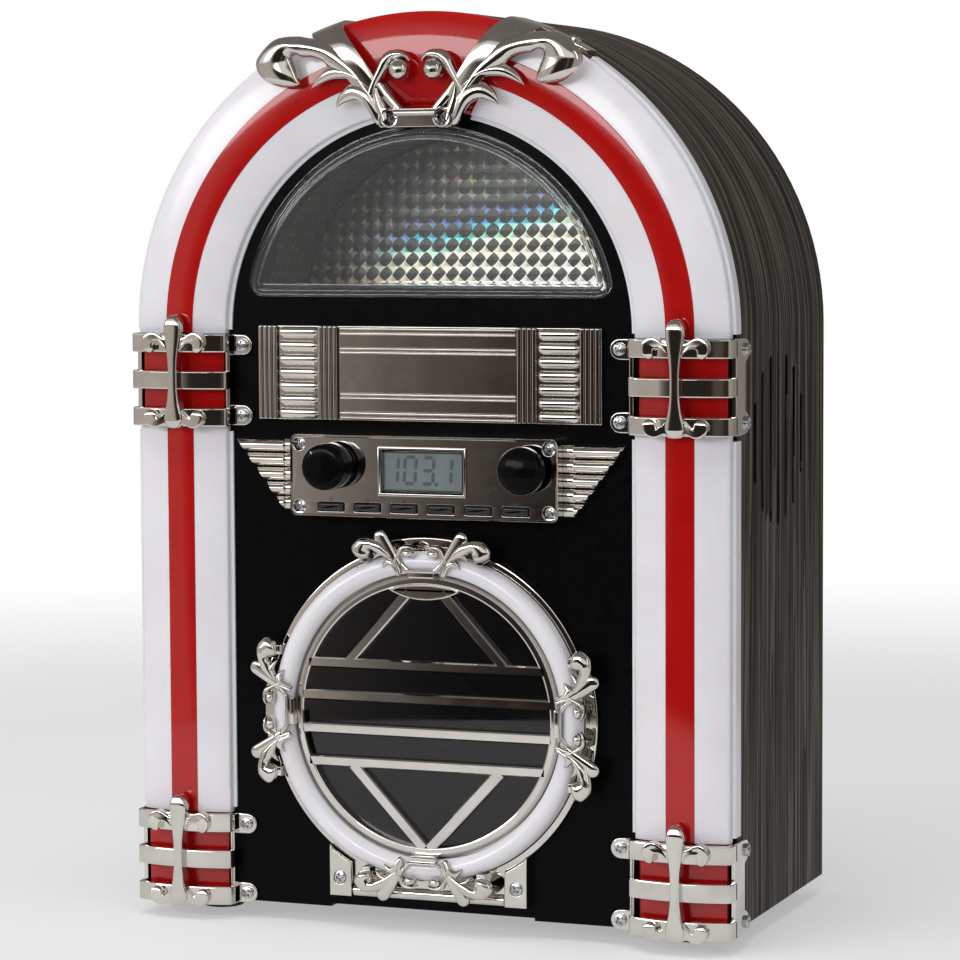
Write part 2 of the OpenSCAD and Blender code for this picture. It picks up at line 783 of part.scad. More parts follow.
module crown_ornament() {
  color("#c9c6c2") difference() {
    union() {
      on_face(arm_back, arm_front) translate([0, crown_z]) {
        both_sides() scroll_arm();
        both_sides() scroll_curl();
        scroll_bar();
      }
      on_face(0, arm_back + 1) translate([-14, crown_z]) square([28, tube_in - 0.9 - window_lift - window_r]);
      on_face(6.6, arm_back + 1) translate([-14, crown_z]) square([28, 4.8]);
      both_sides() {
        on_face(arm_back, arm_back + 2.6) intersection() {
          translate([0, crown_z]) polygon([[13, 11], [22, 9], [50, 37], [36, 44]]);
          translate([0, arch_z]) circle(half_w + 0.3 + strap_t, $fn = 128);
        }
        arch_sweep(90 - strap_a1, strap_a1 - strap_a0)
          translate([half_w + 0.3, -lug_y - 6]) square([strap_t, lug_y + 6 + arm_back + 2]);
        arch_sweep(90 - lug_angle - 3, lug_angle + 3 - strap_a0)
          translate([half_w, -lug_y - 5]) square([strap_t, 9.2]);
      }
    }
    both_sides() {
      peg(crown_screw_x, crown_screw_z, -1, arm_front + 1, pilot_d);
      peg(crown_screw_x, crown_screw_z, crown_seat, arm_front + 1, head_d + 0.6);
      at_lug() translate([0, 0, -1]) cylinder(d = pilot_d, h = strap_t + 2);
    }
  }
}

module crown_lens() {
  color("#c01616") difference() {
    intersection() {
      arch_sweep(50, 80) lens_section(grooved = false);
      crown_wedge(-seat_gap);
    }
    on_face(-1, arm_back + 1) translate([-14.6, crown_z - 1])
      square([29.2, tube_in - 0.4 - window_lift - window_r + 1]);
  }
}

// Window
plateau_inset = 4.2;
foil_t = 0.5;
box_wall = 2;
module window_lens() {
  color("#cfd6da", 0.4) {
    on_face(0, window_t) half_moon(window_r, window_z);
    on_face(window_t / 2, window_t + 1) half_moon(window_r - plateau_inset, window_z + plateau_inset);
  }
}

module window_housing() {
  inner = opening_r;
  low = window_z + window_rim;
  color("#141414") {
    on_face(-box_depth, -panel_t) difference() {
      half_moon(inner + box_wall, low - box_wall);
      half_moon(inner, low);
    }
    on_face(-box_depth - box_wall, -box_depth) half_moon(inner + box_wall, low - box_wall);
  }
}

module window_foil() {
  inner = opening_r - seat_gap;
  low = window_z + window_rim + seat_gap;
  color("#8d9194") {
    on_face(-box_depth + foil_t, -panel_t - 6) difference() {
      half_moon(inner, low);
      half_moon(inner - foil_t, low - 1);
    }
    on_face(-box_depth + seat_gap, -box_depth + seat_gap + foil_t) half_moon(inner, low);
  }
}

// Nameplate grille
strip_w = 9;
field_half = 38;
module nameplate_grille() {
  low = plate_z - plate_h / 2;
  ridge_d = 2 * rib_rise;
  flute_d = 1.9;
  flute_pitch = (strip_w - 2.6) / 3;
  color("#bdbab6") intersection() {
    block(-plate_half, plate_half, 0, plate_t + rib_rise, low, low + plate_h);
    union() {
      block(-plate_half, plate_half, 0, plate_t, low, low + plate_h);
      both_sides() {
        for (x = [field_half, plate_half - strip_w], k = [0 : 3])
          translate([x + 1.3 + k * flute_pitch, face_y - plate_t, low]) cylinder(d = flute_d, h = plate_h);
        for (k = [0 : rib_count - 1])
          rod(field_half + strip_w + 0.4, plate_half - strip_w - 0.4, plate_t,
            low + (k + 0.5) * plate_h / rib_count, ridge_d);
      }
      for (z = [1.7, 4.4, 12], s = [-1, 1])
        rod(-field_half + 0.6, field_half - 0.6, plate_t, plate_z + s * (plate_h / 2 - z), 2.2);
      block(4 - field_half, field_half - 4, plate_t / 2, plate_t + 0.9, plate_z - 4.6, plate_z + 4.6);
    }
  }
}

// Wings: five stepped ribs, each with a slanted end
wing_count = 5;
module wing_trim() {
  tip = tube_in - lip_w - wing_margin;
  root = fascia_w / 2 + seat_gap;
  top = fascia_top - 2.2;
  step = (fascia_h - 4) / wing_count;
  run = (tip - root - 4.5) / wing_count;
  color("#bdbab6") both_sides() for (k = [0 : wing_count - 1]) {
    x = tip - k * run;
    z = top - k * step;
    on_face(0, 2.4) polygon([[root, z], [x, z], [x - run * 0.8, z - step], [root, z - step]]);
    on_face(0, 4.2) polygon([[root, z - 0.8], [x - run * 0.3, z - 0.8],
      [x - run * 0.8, z - step + 1.6], [root, z - step + 1.6]]);
  }
}

// Control fascia
key_list = [for (k = [-2.5 : 2.5]) k * key_pitch];
key_flange = 0.6;

module control_fascia() {
  inner_w = fascia_w - 2 * fascia_wall;
  inner_h = fascia_h - 2 * fascia_wall;
  front_back = fascia_rise - fascia_wall;
  color("#c9c6c2") difference() {
    union() {
      difference() {
        on_face(0, fascia_rise) translate([0, fascia_z]) rrect(fascia_w, fascia_h, 3);
        on_face(-1, front_back) translate([0, fascia_z]) rrect(inner_w, inner_h, 1.6);
      }
      on_face(front_back, fascia_rise + 0.7) translate([0, fascia_z]) difference() {
        rrect(fascia_w, fascia_h, 3);
        rrect(fascia_w - 2.2, fascia_h - 2.2, 2);
      }
      on_face(front_back, fascia_rise + 1.2) translate([0, lcd_z]) square([lcd_w, lcd_h], center = true);
      for (q = fascia_screws) intersection() {
        peg(q.x, q.y, 0, fascia_rise - 0.5, boss_d);
        on_face(0, fascia_rise) translate([0, fascia_z]) rrect(fascia_w, fascia_h, 3);
      }
    }
    on_face(-1, fascia_rise + 2) translate([0, lcd_z]) square([lcd_w - 3.2, lcd_h - 3.2], center = true);
    on_face(-1, front_back + 1) translate([0, lcd_z]) square([lcd_w - 0.6, lcd_h - 0.6], center = true);
    peg(-volume_x, knob_z, -1, fascia_rise + 2, shaft_d + 2);
    peg(light_x, knob_z, -1, fascia_rise + 2, shaft_d + 2);
    for (x = key_list) on_face(-1, fascia_rise + 1) translate([x, key_z])
      square([key_w + 2 * run_gap, key_h + 2 * run_gap], center = true);
    for (q = fascia_screws) {
      peg(q.x, q.y, -1, fascia_rise + 2, pilot_d);
      peg(q.x, q.y, fascia_rise - fascia_sink, fascia_rise + 2, head_d + 0.5);
    }
  }
}

module lcd_window() {
  front_back = fascia_rise - fascia_wall;
  color("#7f8a86", 0.6) {
    on_face(front_back - 0.4, front_back + 1 - seat_gap) translate([0, lcd_z])
      square([lcd_w - 0.8, lcd_h - 0.8], center = true);
    on_face(front_back, fascia_rise + 0.6) translate([0, lcd_z])
      square([lcd_w - 3.2 - 2 * seat_gap, lcd_h - 3.2 - 2 * seat_gap], center = true);
  }
}

module lcd_module() {
  color("#8fa09a") on_face(board_t, fascia_rise - fascia_wall - 0.5) translate([0, lcd_z])
    square([lcd_w - 3, lcd_h - 5], center = true);
}

key_foot = board_t + 1.2;
module control_board() {
  low = fascia_z - fascia_h / 2 + fascia_wall + 0.5;
  high = fascia_z + fascia_h / 2 - fascia_wall - 0.5;
  color("#2f6b3a") difference() {
    union() {
      block(-board_half, board_half, 0, board_t, low, high);
      for (x = key_list) block(x - 2.2, x + 2.2, board_t / 2, key_foot, key_z - 1.4, key_z + 2.4);
    }
    peg(-volume_x, knob_z, -1, board_t + 1, shaft_d + 3 + 2 * seat_gap);
    peg(light_x, knob_z, -1, board_t + 1, shaft_d + 2);
  }
}

pot_half = 8;
pot_top = 7;
pot_fit = 0.25;
pot_depth = 9;
bush_top = fascia_rise - fascia_wall - 0.4;
shaft_root = -pot_depth + 3;
module volume_pot() {
  color("#6d6f72") difference() {
    union() {
      block(-volume_x - pot_half, -volume_x + pot_half, -pot_depth, 0, knob_z - pot_half, knob_z + pot_top);
      peg(-volume_x, knob_z, -1, bush_top, shaft_d + 3);
    }
    peg(-volume_x, knob_z, shaft_root, bush_top + 1, shaft_d + 2 * shaft_gap);
  }
}

switch_depth = 14;
switch_half = 3.2;
plunger_d = 4;
plunger_root = -switch_depth + 3;
module light_switch() {
  color("#d8d6cf") difference() {
    block(light_x - switch_half, light_x + switch_half, -switch_depth, 0,
      knob_z - switch_half, knob_z + switch_half);
    peg(light_x, knob_z, plunger_root, 1, plunger_d + 2 * shaft_gap);
  }
}

module volume_knob() {
  root = fascia_rise + knob_gap;
  color("#0d0d0e") {
    translate([-volume_x, face_y - root, knob_z]) rotate([90, 0, 0]) rotate_extrude()
      polygon(concat([[0, 0], [knob_d / 2 - 0.7, 0], [knob_d / 2 - 0.7, 2.2], [knob_d / 2, 2.4]],
        [[knob_d / 2 - 0.3, knob_len - 2.6]],
        curve([knob_d / 2 - 0.3, knob_len - 2.6], [knob_d / 2 - 0.5, knob_len - 0.7],
          [knob_d / 2 - 3, knob_len - 0.5]), [[0, knob_len]]));
    peg(-volume_x, knob_z, shaft_root + 0.5, root + 1, shaft_d);
  }
}

module light_button() {
  root = fascia_rise + knob_gap + light_travel;
  len = knob_len - light_travel - 0.8;
  color("#0d0d0e") {
    translate([light_x, face_y - root, knob_z]) rotate([90, 0, 0]) rotate_extrude()
      polygon(concat([[0, 0], [knob_d / 2 - 0.4, 0], [knob_d / 2, 0.6], [knob_d / 2, len - 5]],
        curve([knob_d / 2, len - 5], [knob_d / 2 - 0.2, len - 0.6], [0, len]), [[0, len]]));
    peg(light_x, knob_z, plunger_root + light_travel + 0.4, root + 1, plunger_d);
  }
}

module key(k) {
  inside = fascia_rise - fascia_wall;
  color("#1a1a1c") {
    on_face(inside - 1.6, fascia_rise + 0.9) translate([key_list[k], key_z])
      square([key_w, key_h], center = true);
    on_face(inside - 1.6, inside - run_gap) translate([key_list[k], key_z])
      square([key_w + 2 * (run_gap + key_flange), key_h + 1.2], center = true);
    peg(key_list[k], key_z + 0.3, key_foot + key_travel + 0.1, inside - 1, 2.2);
  }
}

module power_key() { key(0); }
module repeat_key() { key(1); }
module stop_key() { key(2); }
module play_key() { key(3); }
module back_key() { key(4); }
module next_key() { key(5); }

// Speakers: flange, cone and magnet, one on each side wall
module speaker() {
  magnet_r = speaker_r / 2;
  cone_r = speaker_r - 9;
  magnet_h = 14;
  color("#1b1b1d") translate([speaker_seat, face_y + grille_y, grille_z]) rotate([0, -90, 0]) difference() {
    rotate_extrude() polygon([[0, 12], [9, 17], [cone_r - 2, 0], [speaker_r, 0], [speaker_r, flange_t],
      [cone_r + 2, flange_t], [magnet_r + 1, speaker_depth - magnet_h],
      [magnet_r, speaker_depth - magnet_h + 1], [magnet_r, speaker_depth], [0, speaker_depth]]);
    for (a = [45 : 90 : 315]) rotate([0, 0, a]) translate([speaker_screw_r, 0, -1])
      cylinder(d = pilot_d, h = flange_t + 2);
  }
}

module left_speaker() { mirror([1, 0, 0]) speaker(); }
module right_speaker() { speaker(); }

// Electronics on the base board and the rear cover
module main_board() {
  right = inner_half - 17;
  left = -20;
  rear = cover_front - 10.4;
  front = rear - 62;
  post_h = 8;
  top = base_top + post_h + board_t;
  color("#2f6b3a") {
    block(left, right, -rear, -front, base_top + post_h, top);
    for (x = [left + 6, right - 6], y = [front + 6, rear - 6])
      translate([x, face_y + y, base_top]) cylinder(d = 6, h = post_h + board_t / 2);
    for (k = [0 : 3]) translate([left + 20 + k * 18, face_y + front + 22, top - board_t / 2])
      cylinder(d = 11, h = 16);
    block(right - 30, right - 8, 8 - rear, -front - 10, top - board_t / 2, top + 14.4);
  }
}

module transformer() {
  x = 40 - inner_half;
  y = cover_front - 39.4;
  color("#55504a") {
    block(x - 27, x + 27, -y - 21, 21 - y, base_top, base_top + 36);
    block(x - 20, x + 20, -y - 23, 23 - y, base_top + 7, base_top + 29);
    block(x - 31, x + 31, -y - 9, 9 - y, base_top, base_top + 2.5);
  }
}

module mains_inlet() {
  out = cover_front + rear_cover_t;
  color("#0f0f10") {
    difference() {
      union() {
        block(inlet_x - inlet_w / 2 - 3, inlet_x + inlet_w / 2 + 3, -out - 1.6, -out,
          inlet_z - inlet_h / 2 - 3, inlet_z + inlet_h / 2 + 3);
        block(inlet_x - inlet_w / 2 + seat_gap, inlet_x + inlet_w / 2 - seat_gap, -out - 1, -out + 18,
          inlet_z - inlet_h / 2 + seat_gap, inlet_z + inlet_h / 2 - seat_gap);
      }
      on_face(-out - 2, -out + 13) translate([inlet_x, inlet_z]) rrect(18, 9, 4);
    }
    for (s = [-1, 1]) peg(inlet_x + s * 4.6, inlet_z, -out + 1, -out + 14, 2.2);
  }
}

module aux_jack() {
  out = cover_front + rear_cover_t;
  color("#26262a") difference() {
    union() {
      peg(jack_x, inlet_z, -out - 1.6, -out, jack_d + 3);
      peg(jack_x, inlet_z, -out - 1, -out + 14, jack_d);
    }
    peg(jack_x, inlet_z, -out - 2, -out + 12, 3.6);
  }
}

// Disc well and drive
slot_h = 16;
module disc_well() {
  wall = 2;
  color("#171719") difference() {
    translate([0, 0, door_z]) {
      on_face(-well_depth - wall, -panel_t) ring(disc_hole_r, disc_hole_r + wall, $fn = 128);
      on_face(-panel_t - wall, -panel_t) ring(disc_hole_r, disc_hole_r + 4, $fn = 128);
      on_face(-well_depth - wall, -well_depth) circle(disc_hole_r + 1, $fn = 128);
    }
    peg(0, door_z, -well_depth - wall - 1, -well_depth + 1, platform_d + 3);
    block(-latch_w - 0.5, latch_w + 0.5, -panel_t - wall - 1, -panel_t + 1,
      door_z + disc_hole_r + wall, door_z + disc_hole_r + 6);
    block(0, sled_x + pickup_travel + 4.8, -well_depth - wall - 1, -well_depth + 1,
      door_z - slot_h / 2, door_z + slot_h / 2);
  }
}

rod_x0 = sled_x - sled_half - 3;
rod_x1 = sled_x + pickup_travel + sled_half + 3;
motor_d = 22;
chassis_posts = [[-30, 30], [-30, -30], [48, 30], [16, rack_z - gear_r - 5]];
module drive_chassis() {
  plate = 1.6;
  color("#8f9194") difference() {
    union() {
      block(-36, rod_x1 + 6, -chassis_y - plate, -chassis_y,
        door_z + rack_z - gear_r - 11, door_z + rod_z + 20);
      for (q = chassis_posts) peg(q.x, door_z + q.y, -chassis_y - plate / 2, -sled_floor, 5);
      for (x = [rod_x0 - 4, rod_x1], s = [-1, 1])
        block(x, x + 4, -chassis_y - plate / 2, -rod_y + 3, door_z + s * rod_z - 3, door_z + s * rod_z + 3);
    }
    for (s = [-1, 1]) rod(rod_x0 - 5, rod_x1 + 5, -rod_y, door_z + s * rod_z, rod_d + 2 * seat_gap);
    peg(gear_x, door_z + rack_z - gear_r, -chassis_y - plate - 1, -chassis_y + 1, 4);
  }
}

shaft_root_y = chassis_y - 1.5;
module spindle_motor() {
  color("#a3a5a8") difference() {
    peg(0, door_z, -chassis_y, -sled_floor - 1.5, motor_d);
    peg(0, door_z, -shaft_root_y, -sled_floor, 2 + 2 * shaft_gap);
  }
}

module guide_rods() {
  color("#d2d4d6") for (s = [-1, 1]) rod(rod_x0 - 4, rod_x1 + 4, -rod_y, door_z + s * rod_z, rod_d);
}

module sled_motor() {
  z = door_z + rack_z - gear_r;
  color("#9a9c9f") difference() {
    union() {
      peg(gear_x, z, -chassis_y - 18, -chassis_y - 1.6, 15);
      peg(gear_x, z, -chassis_y - 3, -chassis_y, 4 - 2 * seat_gap);
    }
    peg(gear_x, z, -chassis_y - 8, -chassis_y + 1, 2 + 2 * shaft_gap);
  }
}

platform_h = 7.2;
module disc_hub() {
  color("#2b2b2e") {
    translate([0, face_y + well_depth + 1.2, door_z]) rotate([90, 0, 0]) rotate_extrude()
      polygon([[0, 0], [platform_d / 2, 0], [platform_d / 2, platform_h], [7.4, platform_h],
        [7, platform_h + 3.2], [0, platform_h + 3.2]]);
    peg(0, door_z, -shaft_root_y + 0.4, -well_depth, 2);
  }
}

// Rack tooth spaces sit over the gear's teeth: one space is centred on the gear at rest
module rack_teeth() {
  root = tooth_half + tooth_ded * tan(20);
  tip = tooth_half - tooth_add * tan(20);
  first = -floor(pickup_travel / rack_pitch) - 2;
  for (k = [first : 1]) translate([gear_x + (k + 0.5) * rack_pitch, rack_z])
    polygon([[-root, tooth_ded + 0.2], [-tip, -tooth_add], [tip, -tooth_add], [root, tooth_ded + 0.2]]);
}

module sled_gear() {
  z = door_z + rack_z - gear_r;
  root = tooth_half + tooth_ded * 0.25;
  tip = tooth_half - tooth_add * 0.45;
  color("#e6e2d6") {
    on_face(-rod_y - 2, -rod_y + 2) translate([gear_x, z]) {
      circle(gear_r - tooth_ded);
      for (k = [0 : gear_teeth - 1]) rotate(90 + k * 360 / gear_teeth) translate([gear_r, 0])
        polygon([[-tooth_ded - 0.4, -root], [tooth_add, -tip], [tooth_add, tip], [-tooth_ded - 0.4, root]]);
    }
    peg(gear_x, z, -chassis_y - 7.5, -rod_y, 2);
  }
}

sled_front = sled_floor + 1.2;
module pickup_sled() {
  color("#303236") translate([0, 0, door_z]) difference() {
    union() {
      block(sled_x - sled_half, sled_x + sled_half, -rod_y - 3.4, -sled_front, -rod_z - 4, rod_z + 4);
      peg(sled_x, 0, -sled_front - 1, -well_depth + 0.5, 8);
      on_face(-rod_y - 2, -rod_y + 2) {
        rack_teeth();
        translate([gear_x - pickup_travel - 8, rack_z + tooth_ded])
          square([pickup_travel + 15, 4.4 - tooth_ded]);
      }
    }
    for (s = [-1, 1])
      rod(sled_x - sled_half - 40, sled_x + sled_half + 40, -rod_y, s * rod_z, rod_d + 2 * shaft_gap);
  }
}

// Door
module door_face(p0, p1) {
  translate([0, 0, door_z]) on_face(p0, p1) children();
}

// Straight strip of width w between two points
module strip(a, b, w) {
  d = (b - a) / norm(b - a) * w / 2;
  n = [-d.y, d.x];
  polygon([a + n, b + n, b - n, a - n]);
}

tab_half = 17;
module door_frame() {
  tab_r = door_r + 2.5;
  plate_x = ear_in - run_gap;
  color("#c9c6c2") difference() {
    union() {
      door_face(door_back, flange_front) difference() {
        union() {
          circle(door_r, $fn = 128);
          for (a = [0, 90, 180]) intersection() {
            circle(tab_r, $fn = 128);
            polygon([[0, 0], for (t = [a - tab_half, a + tab_half]) 2 * door_r * [cos(t), sin(t)]]);
          }
          difference() {
            translate([-plate_x, hinge_z - door_z]) square([2 * plate_x, door_z - hinge_z]);
            circle(ring_r);
          }
        }
        circle(frame_in, $fn = 128);
      }
      door_face(door_back, frame_rise) ring(frame_in, frame_r, $fn = 128);
      door_face(bar_back, frame_rise) intersection() {
        circle(frame_in + 1);
        union() {
          for (z = [-outer_bar, -bar_pitch / 2, bar_pitch / 2, outer_bar])
            translate([-frame_r, z - bar_h / 2]) square([2 * frame_r, bar_h]);
          for (s = [-1, 1]) {
            strip([s * 7, frame_in - 3], [s * 33.3, outer_bar + 1], strut_w);
            strip([s * 31.5, -outer_bar - 1], [s * 1.2, -frame_in], strut_w);
          }
          intersection() {
            circle(frame_in + 1);
            translate([0, frame_in + 26.4]) circle(32.6);
          }
        }
      }
      rod(-plate_x, plate_x, hinge_p, hinge_z, 2 * knuckle_r);
      block(-latch_w / 2 + 1, latch_w / 2 - 1, -panel_t - 3, flange_front, latch_z, latch_z + tongue_h);
    }
    door_face(door_back - 1, bar_back - 0.1) circle(frame_in + 1.4, $fn = 128);
    rod(-ear_in - 1, ear_in + 1, hinge_p, hinge_z, pin_d + 2 * shaft_gap);
  }
}

module light_ring_section(inset) {
  half = (ring_r - ring_in_r) / 2 - inset;
  mid = (ring_r + ring_in_r) / 2;
  shoulder = ring_crest - flange_front - (ring_r - ring_in_r) / 2;
  translate([mid - half, 0]) square([2 * half, shoulder]);
  translate([mid, shoulder]) circle(half);
}

module door_light_ring() {
  color("#e0dce4") translate([0, face_y - flange_front, door_z]) rotate([90, 0, 0]) rotate_extrude($fn = 128)
    difference() {
      light_ring_section(0);
      light_ring_section(1.5);
      translate([0, -10]) square([2 * ring_r, 10]);
    }
}

module ring_board() {
  mid = (ring_r + ring_in_r) / 2;
  color("#d8d8c8") {
    door_face(flange_front, flange_front + 1.2) ring(mid - 2.4, mid + 2.4, $fn = 128);
    for (a = [15 : 30 : 345])
      peg(mid * cos(a), door_z + mid * sin(a), flange_front + 0.5, flange_front + 2.4, 3);
  }
}

module door_window() {
  color("#2a2c2e", 0.7) door_face(door_back + 0.3, bar_back - 0.2) circle(frame_in + 1.3, $fn = 128);
}

// One small leaf scroll on the light ring, with a foot on the frame and one on the rim
module door_ornament() {
  front = ring_crest + 3;
  back = ring_crest + 0.2;
  door_face(back, front) translate([0, motif_base_r]) scale(motif_scale) {
    both_sides() scroll_arm();
    both_sides() scroll_curl();
    scroll_bar();
    both_sides() polygon([[13, 11], [22, 9], [43, 33], [33, 39]]);
  }
  door_face(frame_rise, front) translate([-5, ring_in_r - 3]) square([10, 2.4]);
  door_face(flange_front, front) intersection() {
    ring(ring_r + 0.3, door_r - 0.2);
    both_sides() translate([14, 0]) square([8, door_r]);
  }
}

module door_ornaments() {
  color("#c9c6c2") for (a = [0 : 90 : 270])
    translate([0, 0, door_z]) rotate([0, a, 0]) translate([0, 0, -door_z]) door_ornament();
}

module hinge_ears() {
  color("#bdbab6") both_sides() difference() {
    on_face(0, ear_t) difference() {
      translate([ear_in, ear_bottom]) square([ear_out - ear_in, 24]);
      translate([0, door_z]) circle(door_r + run_gap, $fn = 128);
    }
    rod(ear_in - 1, ear_out - 2, hinge_p, hinge_z, pin_d + 0.02);
    peg(ear_screw.x, ear_screw.y, -1, ear_t + 1, pilot_d);
    peg(ear_screw.x, ear_screw.y, ear_t - ear_sink, ear_t + 1, head_d + 0.4);
  }
}

module hinge_pin() {
  color("#d2d4d6") rod(-ear_out + 2.2, ear_out - 2.2, hinge_p, hinge_z, pin_d);
}

// Push latch behind the panel that takes the door's tongue
module door_latch() {
  color("#1f1f22") difference() {
    block(-latch_w, latch_w, -panel_t - 12, -panel_t, latch_z - 2.4, latch_z + tongue_h + 7);
    block(-latch_w / 2 - 0.6, latch_w / 2 + 0.6, -panel_t - 5, -panel_t + 1,
      latch_z - 1.2, latch_z + tongue_h + 2);
  }
}

cabinet_wrap();
base_board();
rear_cover();
wood_screws();
feet();
front_panel();
left_column_lens();
right_column_lens();
arch_lenses();
red_stripes();
clamp_inserts();
light_boards();
upper_left_clamp();
upper_right_clamp();
lower_left_clamp();
lower_right_clamp();
trim_screws();
crown_ornament();
crown_lens();
window_lens();
window_foil();
window_housing();
nameplate_grille();
wing_trim();
control_fascia();
lcd_window();
lcd_module();
control_board();
volume_pot();
light_switch();
left_speaker();
right_speaker();
main_board();
transformer();
mains_inlet();
aux_jack();
disc_well();
drive_chassis();
spindle_motor();
guide_rods();
sled_motor();
door_latch();
hinge_ears();
hinge_pin();
door_frame();
door_light_ring();
ring_board();
door_window();
door_ornaments();
volume_knob();
light_button();
power_key();
repeat_key();
stop_key();
play_key();
back_key();
next_key();
disc_hub();
pickup_sled();
sled_gear();
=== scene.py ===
import math

import bmesh
import bpy
from mathutils import Matrix, Vector


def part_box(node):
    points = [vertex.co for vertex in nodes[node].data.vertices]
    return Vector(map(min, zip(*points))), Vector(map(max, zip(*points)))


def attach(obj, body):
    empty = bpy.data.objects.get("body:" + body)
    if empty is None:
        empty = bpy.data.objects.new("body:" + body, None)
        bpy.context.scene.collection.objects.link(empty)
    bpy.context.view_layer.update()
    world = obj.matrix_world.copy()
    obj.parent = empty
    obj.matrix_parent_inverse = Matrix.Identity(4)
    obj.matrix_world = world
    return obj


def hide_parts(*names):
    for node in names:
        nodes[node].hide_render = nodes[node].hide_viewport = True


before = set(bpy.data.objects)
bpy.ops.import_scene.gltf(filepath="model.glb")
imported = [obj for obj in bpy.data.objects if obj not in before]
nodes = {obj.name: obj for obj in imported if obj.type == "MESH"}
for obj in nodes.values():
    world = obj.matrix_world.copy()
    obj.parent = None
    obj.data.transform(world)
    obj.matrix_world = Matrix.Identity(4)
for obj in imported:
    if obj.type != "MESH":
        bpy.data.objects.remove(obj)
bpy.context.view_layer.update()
scene = bpy.context.scene
mm = 0.001
print("frame loaded:", len(nodes), "nodes")

# Places read from the frame, in millimetres; p counts forward from the front panel's face
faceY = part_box("front_panel")[0].y / mm
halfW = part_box("cabinet_wrap")[1].x / mm
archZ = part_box("cabinet_wrap")[1].z / mm - halfW
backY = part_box("rear_cover")[1].y / mm
doorZ = (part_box("door_window")[0].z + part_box("door_window")[1].z) / 2 / mm
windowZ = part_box("window_lens")[0].z / mm
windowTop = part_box("window_lens")[1].z / mm
fasciaLow, fasciaHigh = [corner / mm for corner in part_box("control_fascia")]
plateLow, plateHigh = [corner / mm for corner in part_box("nameplate_grille")]
tube = {"width": 39, "crest": 6.4, "wall": 2.4, "crownR": 60, "shoulderR": 5, "blend": 2.2, "stripe": 12,
        "lip": 1.6, "lipHigh": 1.2, "lipBack": -5.6}
tubeHalf = tube["width"] / 2
tubeMid = halfW - tubeHalf
tubeIn = halfW - tube["width"]
crownZ = windowTop + 0.3
skinGap = 0.02   # keeps pieces just clear of the faces they lie on
axisR = 0.02   # a turned profile starts this far off its axis


def box(name):
    low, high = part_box(name)
    return low / mm, high / mm


def middleOf(name):
    low, high = box(name)
    return (low + high) / 2


# Drawing helpers: a shape gathers points (x, z, p) and faces
def newShape():
    return {"points": [], "faces": []}


def addLoft(shape, loops, closed=True, ring=False, caps=True):
    start = len(shape["points"])
    count = len(loops[0])
    for loop in loops:
        shape["points"].extend(loop)
    for i in range(len(loops) if ring else len(loops) - 1):
        a = start + i * count
        b = start + (i + 1) % len(loops) * count
        for j in range(count if closed else count - 1):
            k = (j + 1) % count
            shape["faces"].append((a + j, a + k, b + k, b + j))
    if caps and not ring:
        last = start + (len(loops) - 1) * count
        shape["faces"].append(tuple(range(start, start + count)))
        shape["faces"].append(tuple(range(last, last + count)))


def addLathe(shape, profile, x, z, steps=96, closed=False):
    loops = []
    for i in range(steps):
        a = 2 * math.pi * i / steps
        loops.append([(x + r * math.cos(a), z + r * math.sin(a), p) for r, p in profile])
    addLoft(shape, loops, closed=closed, ring=True)


def inset(outline, d):
    area = sum(a[0] * b[1] - b[0] * a[1] for a, b in zip(outline, outline[1:] + outline[:1]))
    turn = 1 if area > 0 else -1
    moved = []
    for i, here in enumerate(outline):
        before = outline[i - 1]
        after = outline[(i + 1) % len(outline)]
        e1 = Vector((here[0] - before[0], here[1] - before[1])).normalized()
        e2 = Vector((after[0] - here[0], after[1] - here[1])).normalized()
        n1 = Vector((-e1.y, e1.x)) * turn
        n2 = Vector((-e2.y, e2.x)) * turn
        n = (n1 + n2) / max(0.5, 1 + n1.dot(n2))
        moved.append((here[0] + n.x * d, here[1] + n.y * d))
    return moved


def roundEdge(edge, p0, p1, count=4):
    steps = [(0, p0)]
    for i in range(count + 1):
        a = math.pi / 2 * i / count
        steps.append((edge * (1 - math.cos(a)), p1 - edge * (1 - math.sin(a))))
    return steps + [(edge + 0.1, p1), (edge + 0.2, p1)]   # the last rows keep the flat face flat


def addPlate(shape, outline, steps, place=None):
    loops = []
    for d, p in steps:
        ring = inset(outline, d) if d else outline
        loops.append([(place(x, z) if place else (x, z)) + (p,) for x, z in ring])
    addLoft(shape, loops)


def rect(x0, x1, z0, z1):
    return [(x0, z0), (x1, z0), (x1, z1), (x0, z1)]


def arc(x, z, r, a0, a1, count):
    turns = [math.radians(a0 + (a1 - a0) * i / count) for i in range(count + 1)]
    return [(x + r * math.cos(a), z + r * math.sin(a)) for a in turns]


def circle(x, z, r):
    return arc(x, z, r, 0, 345, 23)   # 24 points


def roundRect(x0, x1, z0, z1, r, count=5):
    return (arc(x1 - r, z0 + r, r, -90, 0, count) + arc(x1 - r, z1 - r, r, 0, 90, count)
            + arc(x0 + r, z1 - r, r, 90, 180, count) + arc(x0 + r, z0 + r, r, 180, 270, count))


def addBlock(shape, x0, x1, z0, z1, p0, p1, edge=0.3, corner=0.4):
    addPlate(shape, roundRect(x0, x1, z0, z1, corner), roundEdge(edge, p0, p1))


# A curve through the points, with count steps from each to the next
def smoothLine(points, count):
    line = []
    last = len(points) - 1
    for i in range(last):
        q = [Vector(points[min(max(i + k, 0), last)]) for k in (-1, 0, 1, 2)]
        for j in range(count):
            t = j / count
            v = 0.5 * (2 * q[1] + (q[2] - q[0]) * t + (2 * q[0] - 5 * q[1] + 4 * q[2] - q[3]) * t * t
                       + (3 * q[1] - q[0] - 3 * q[2] + q[3]) * t ** 3)
            line.append(tuple(v))
    return line + [tuple(points[-1])]


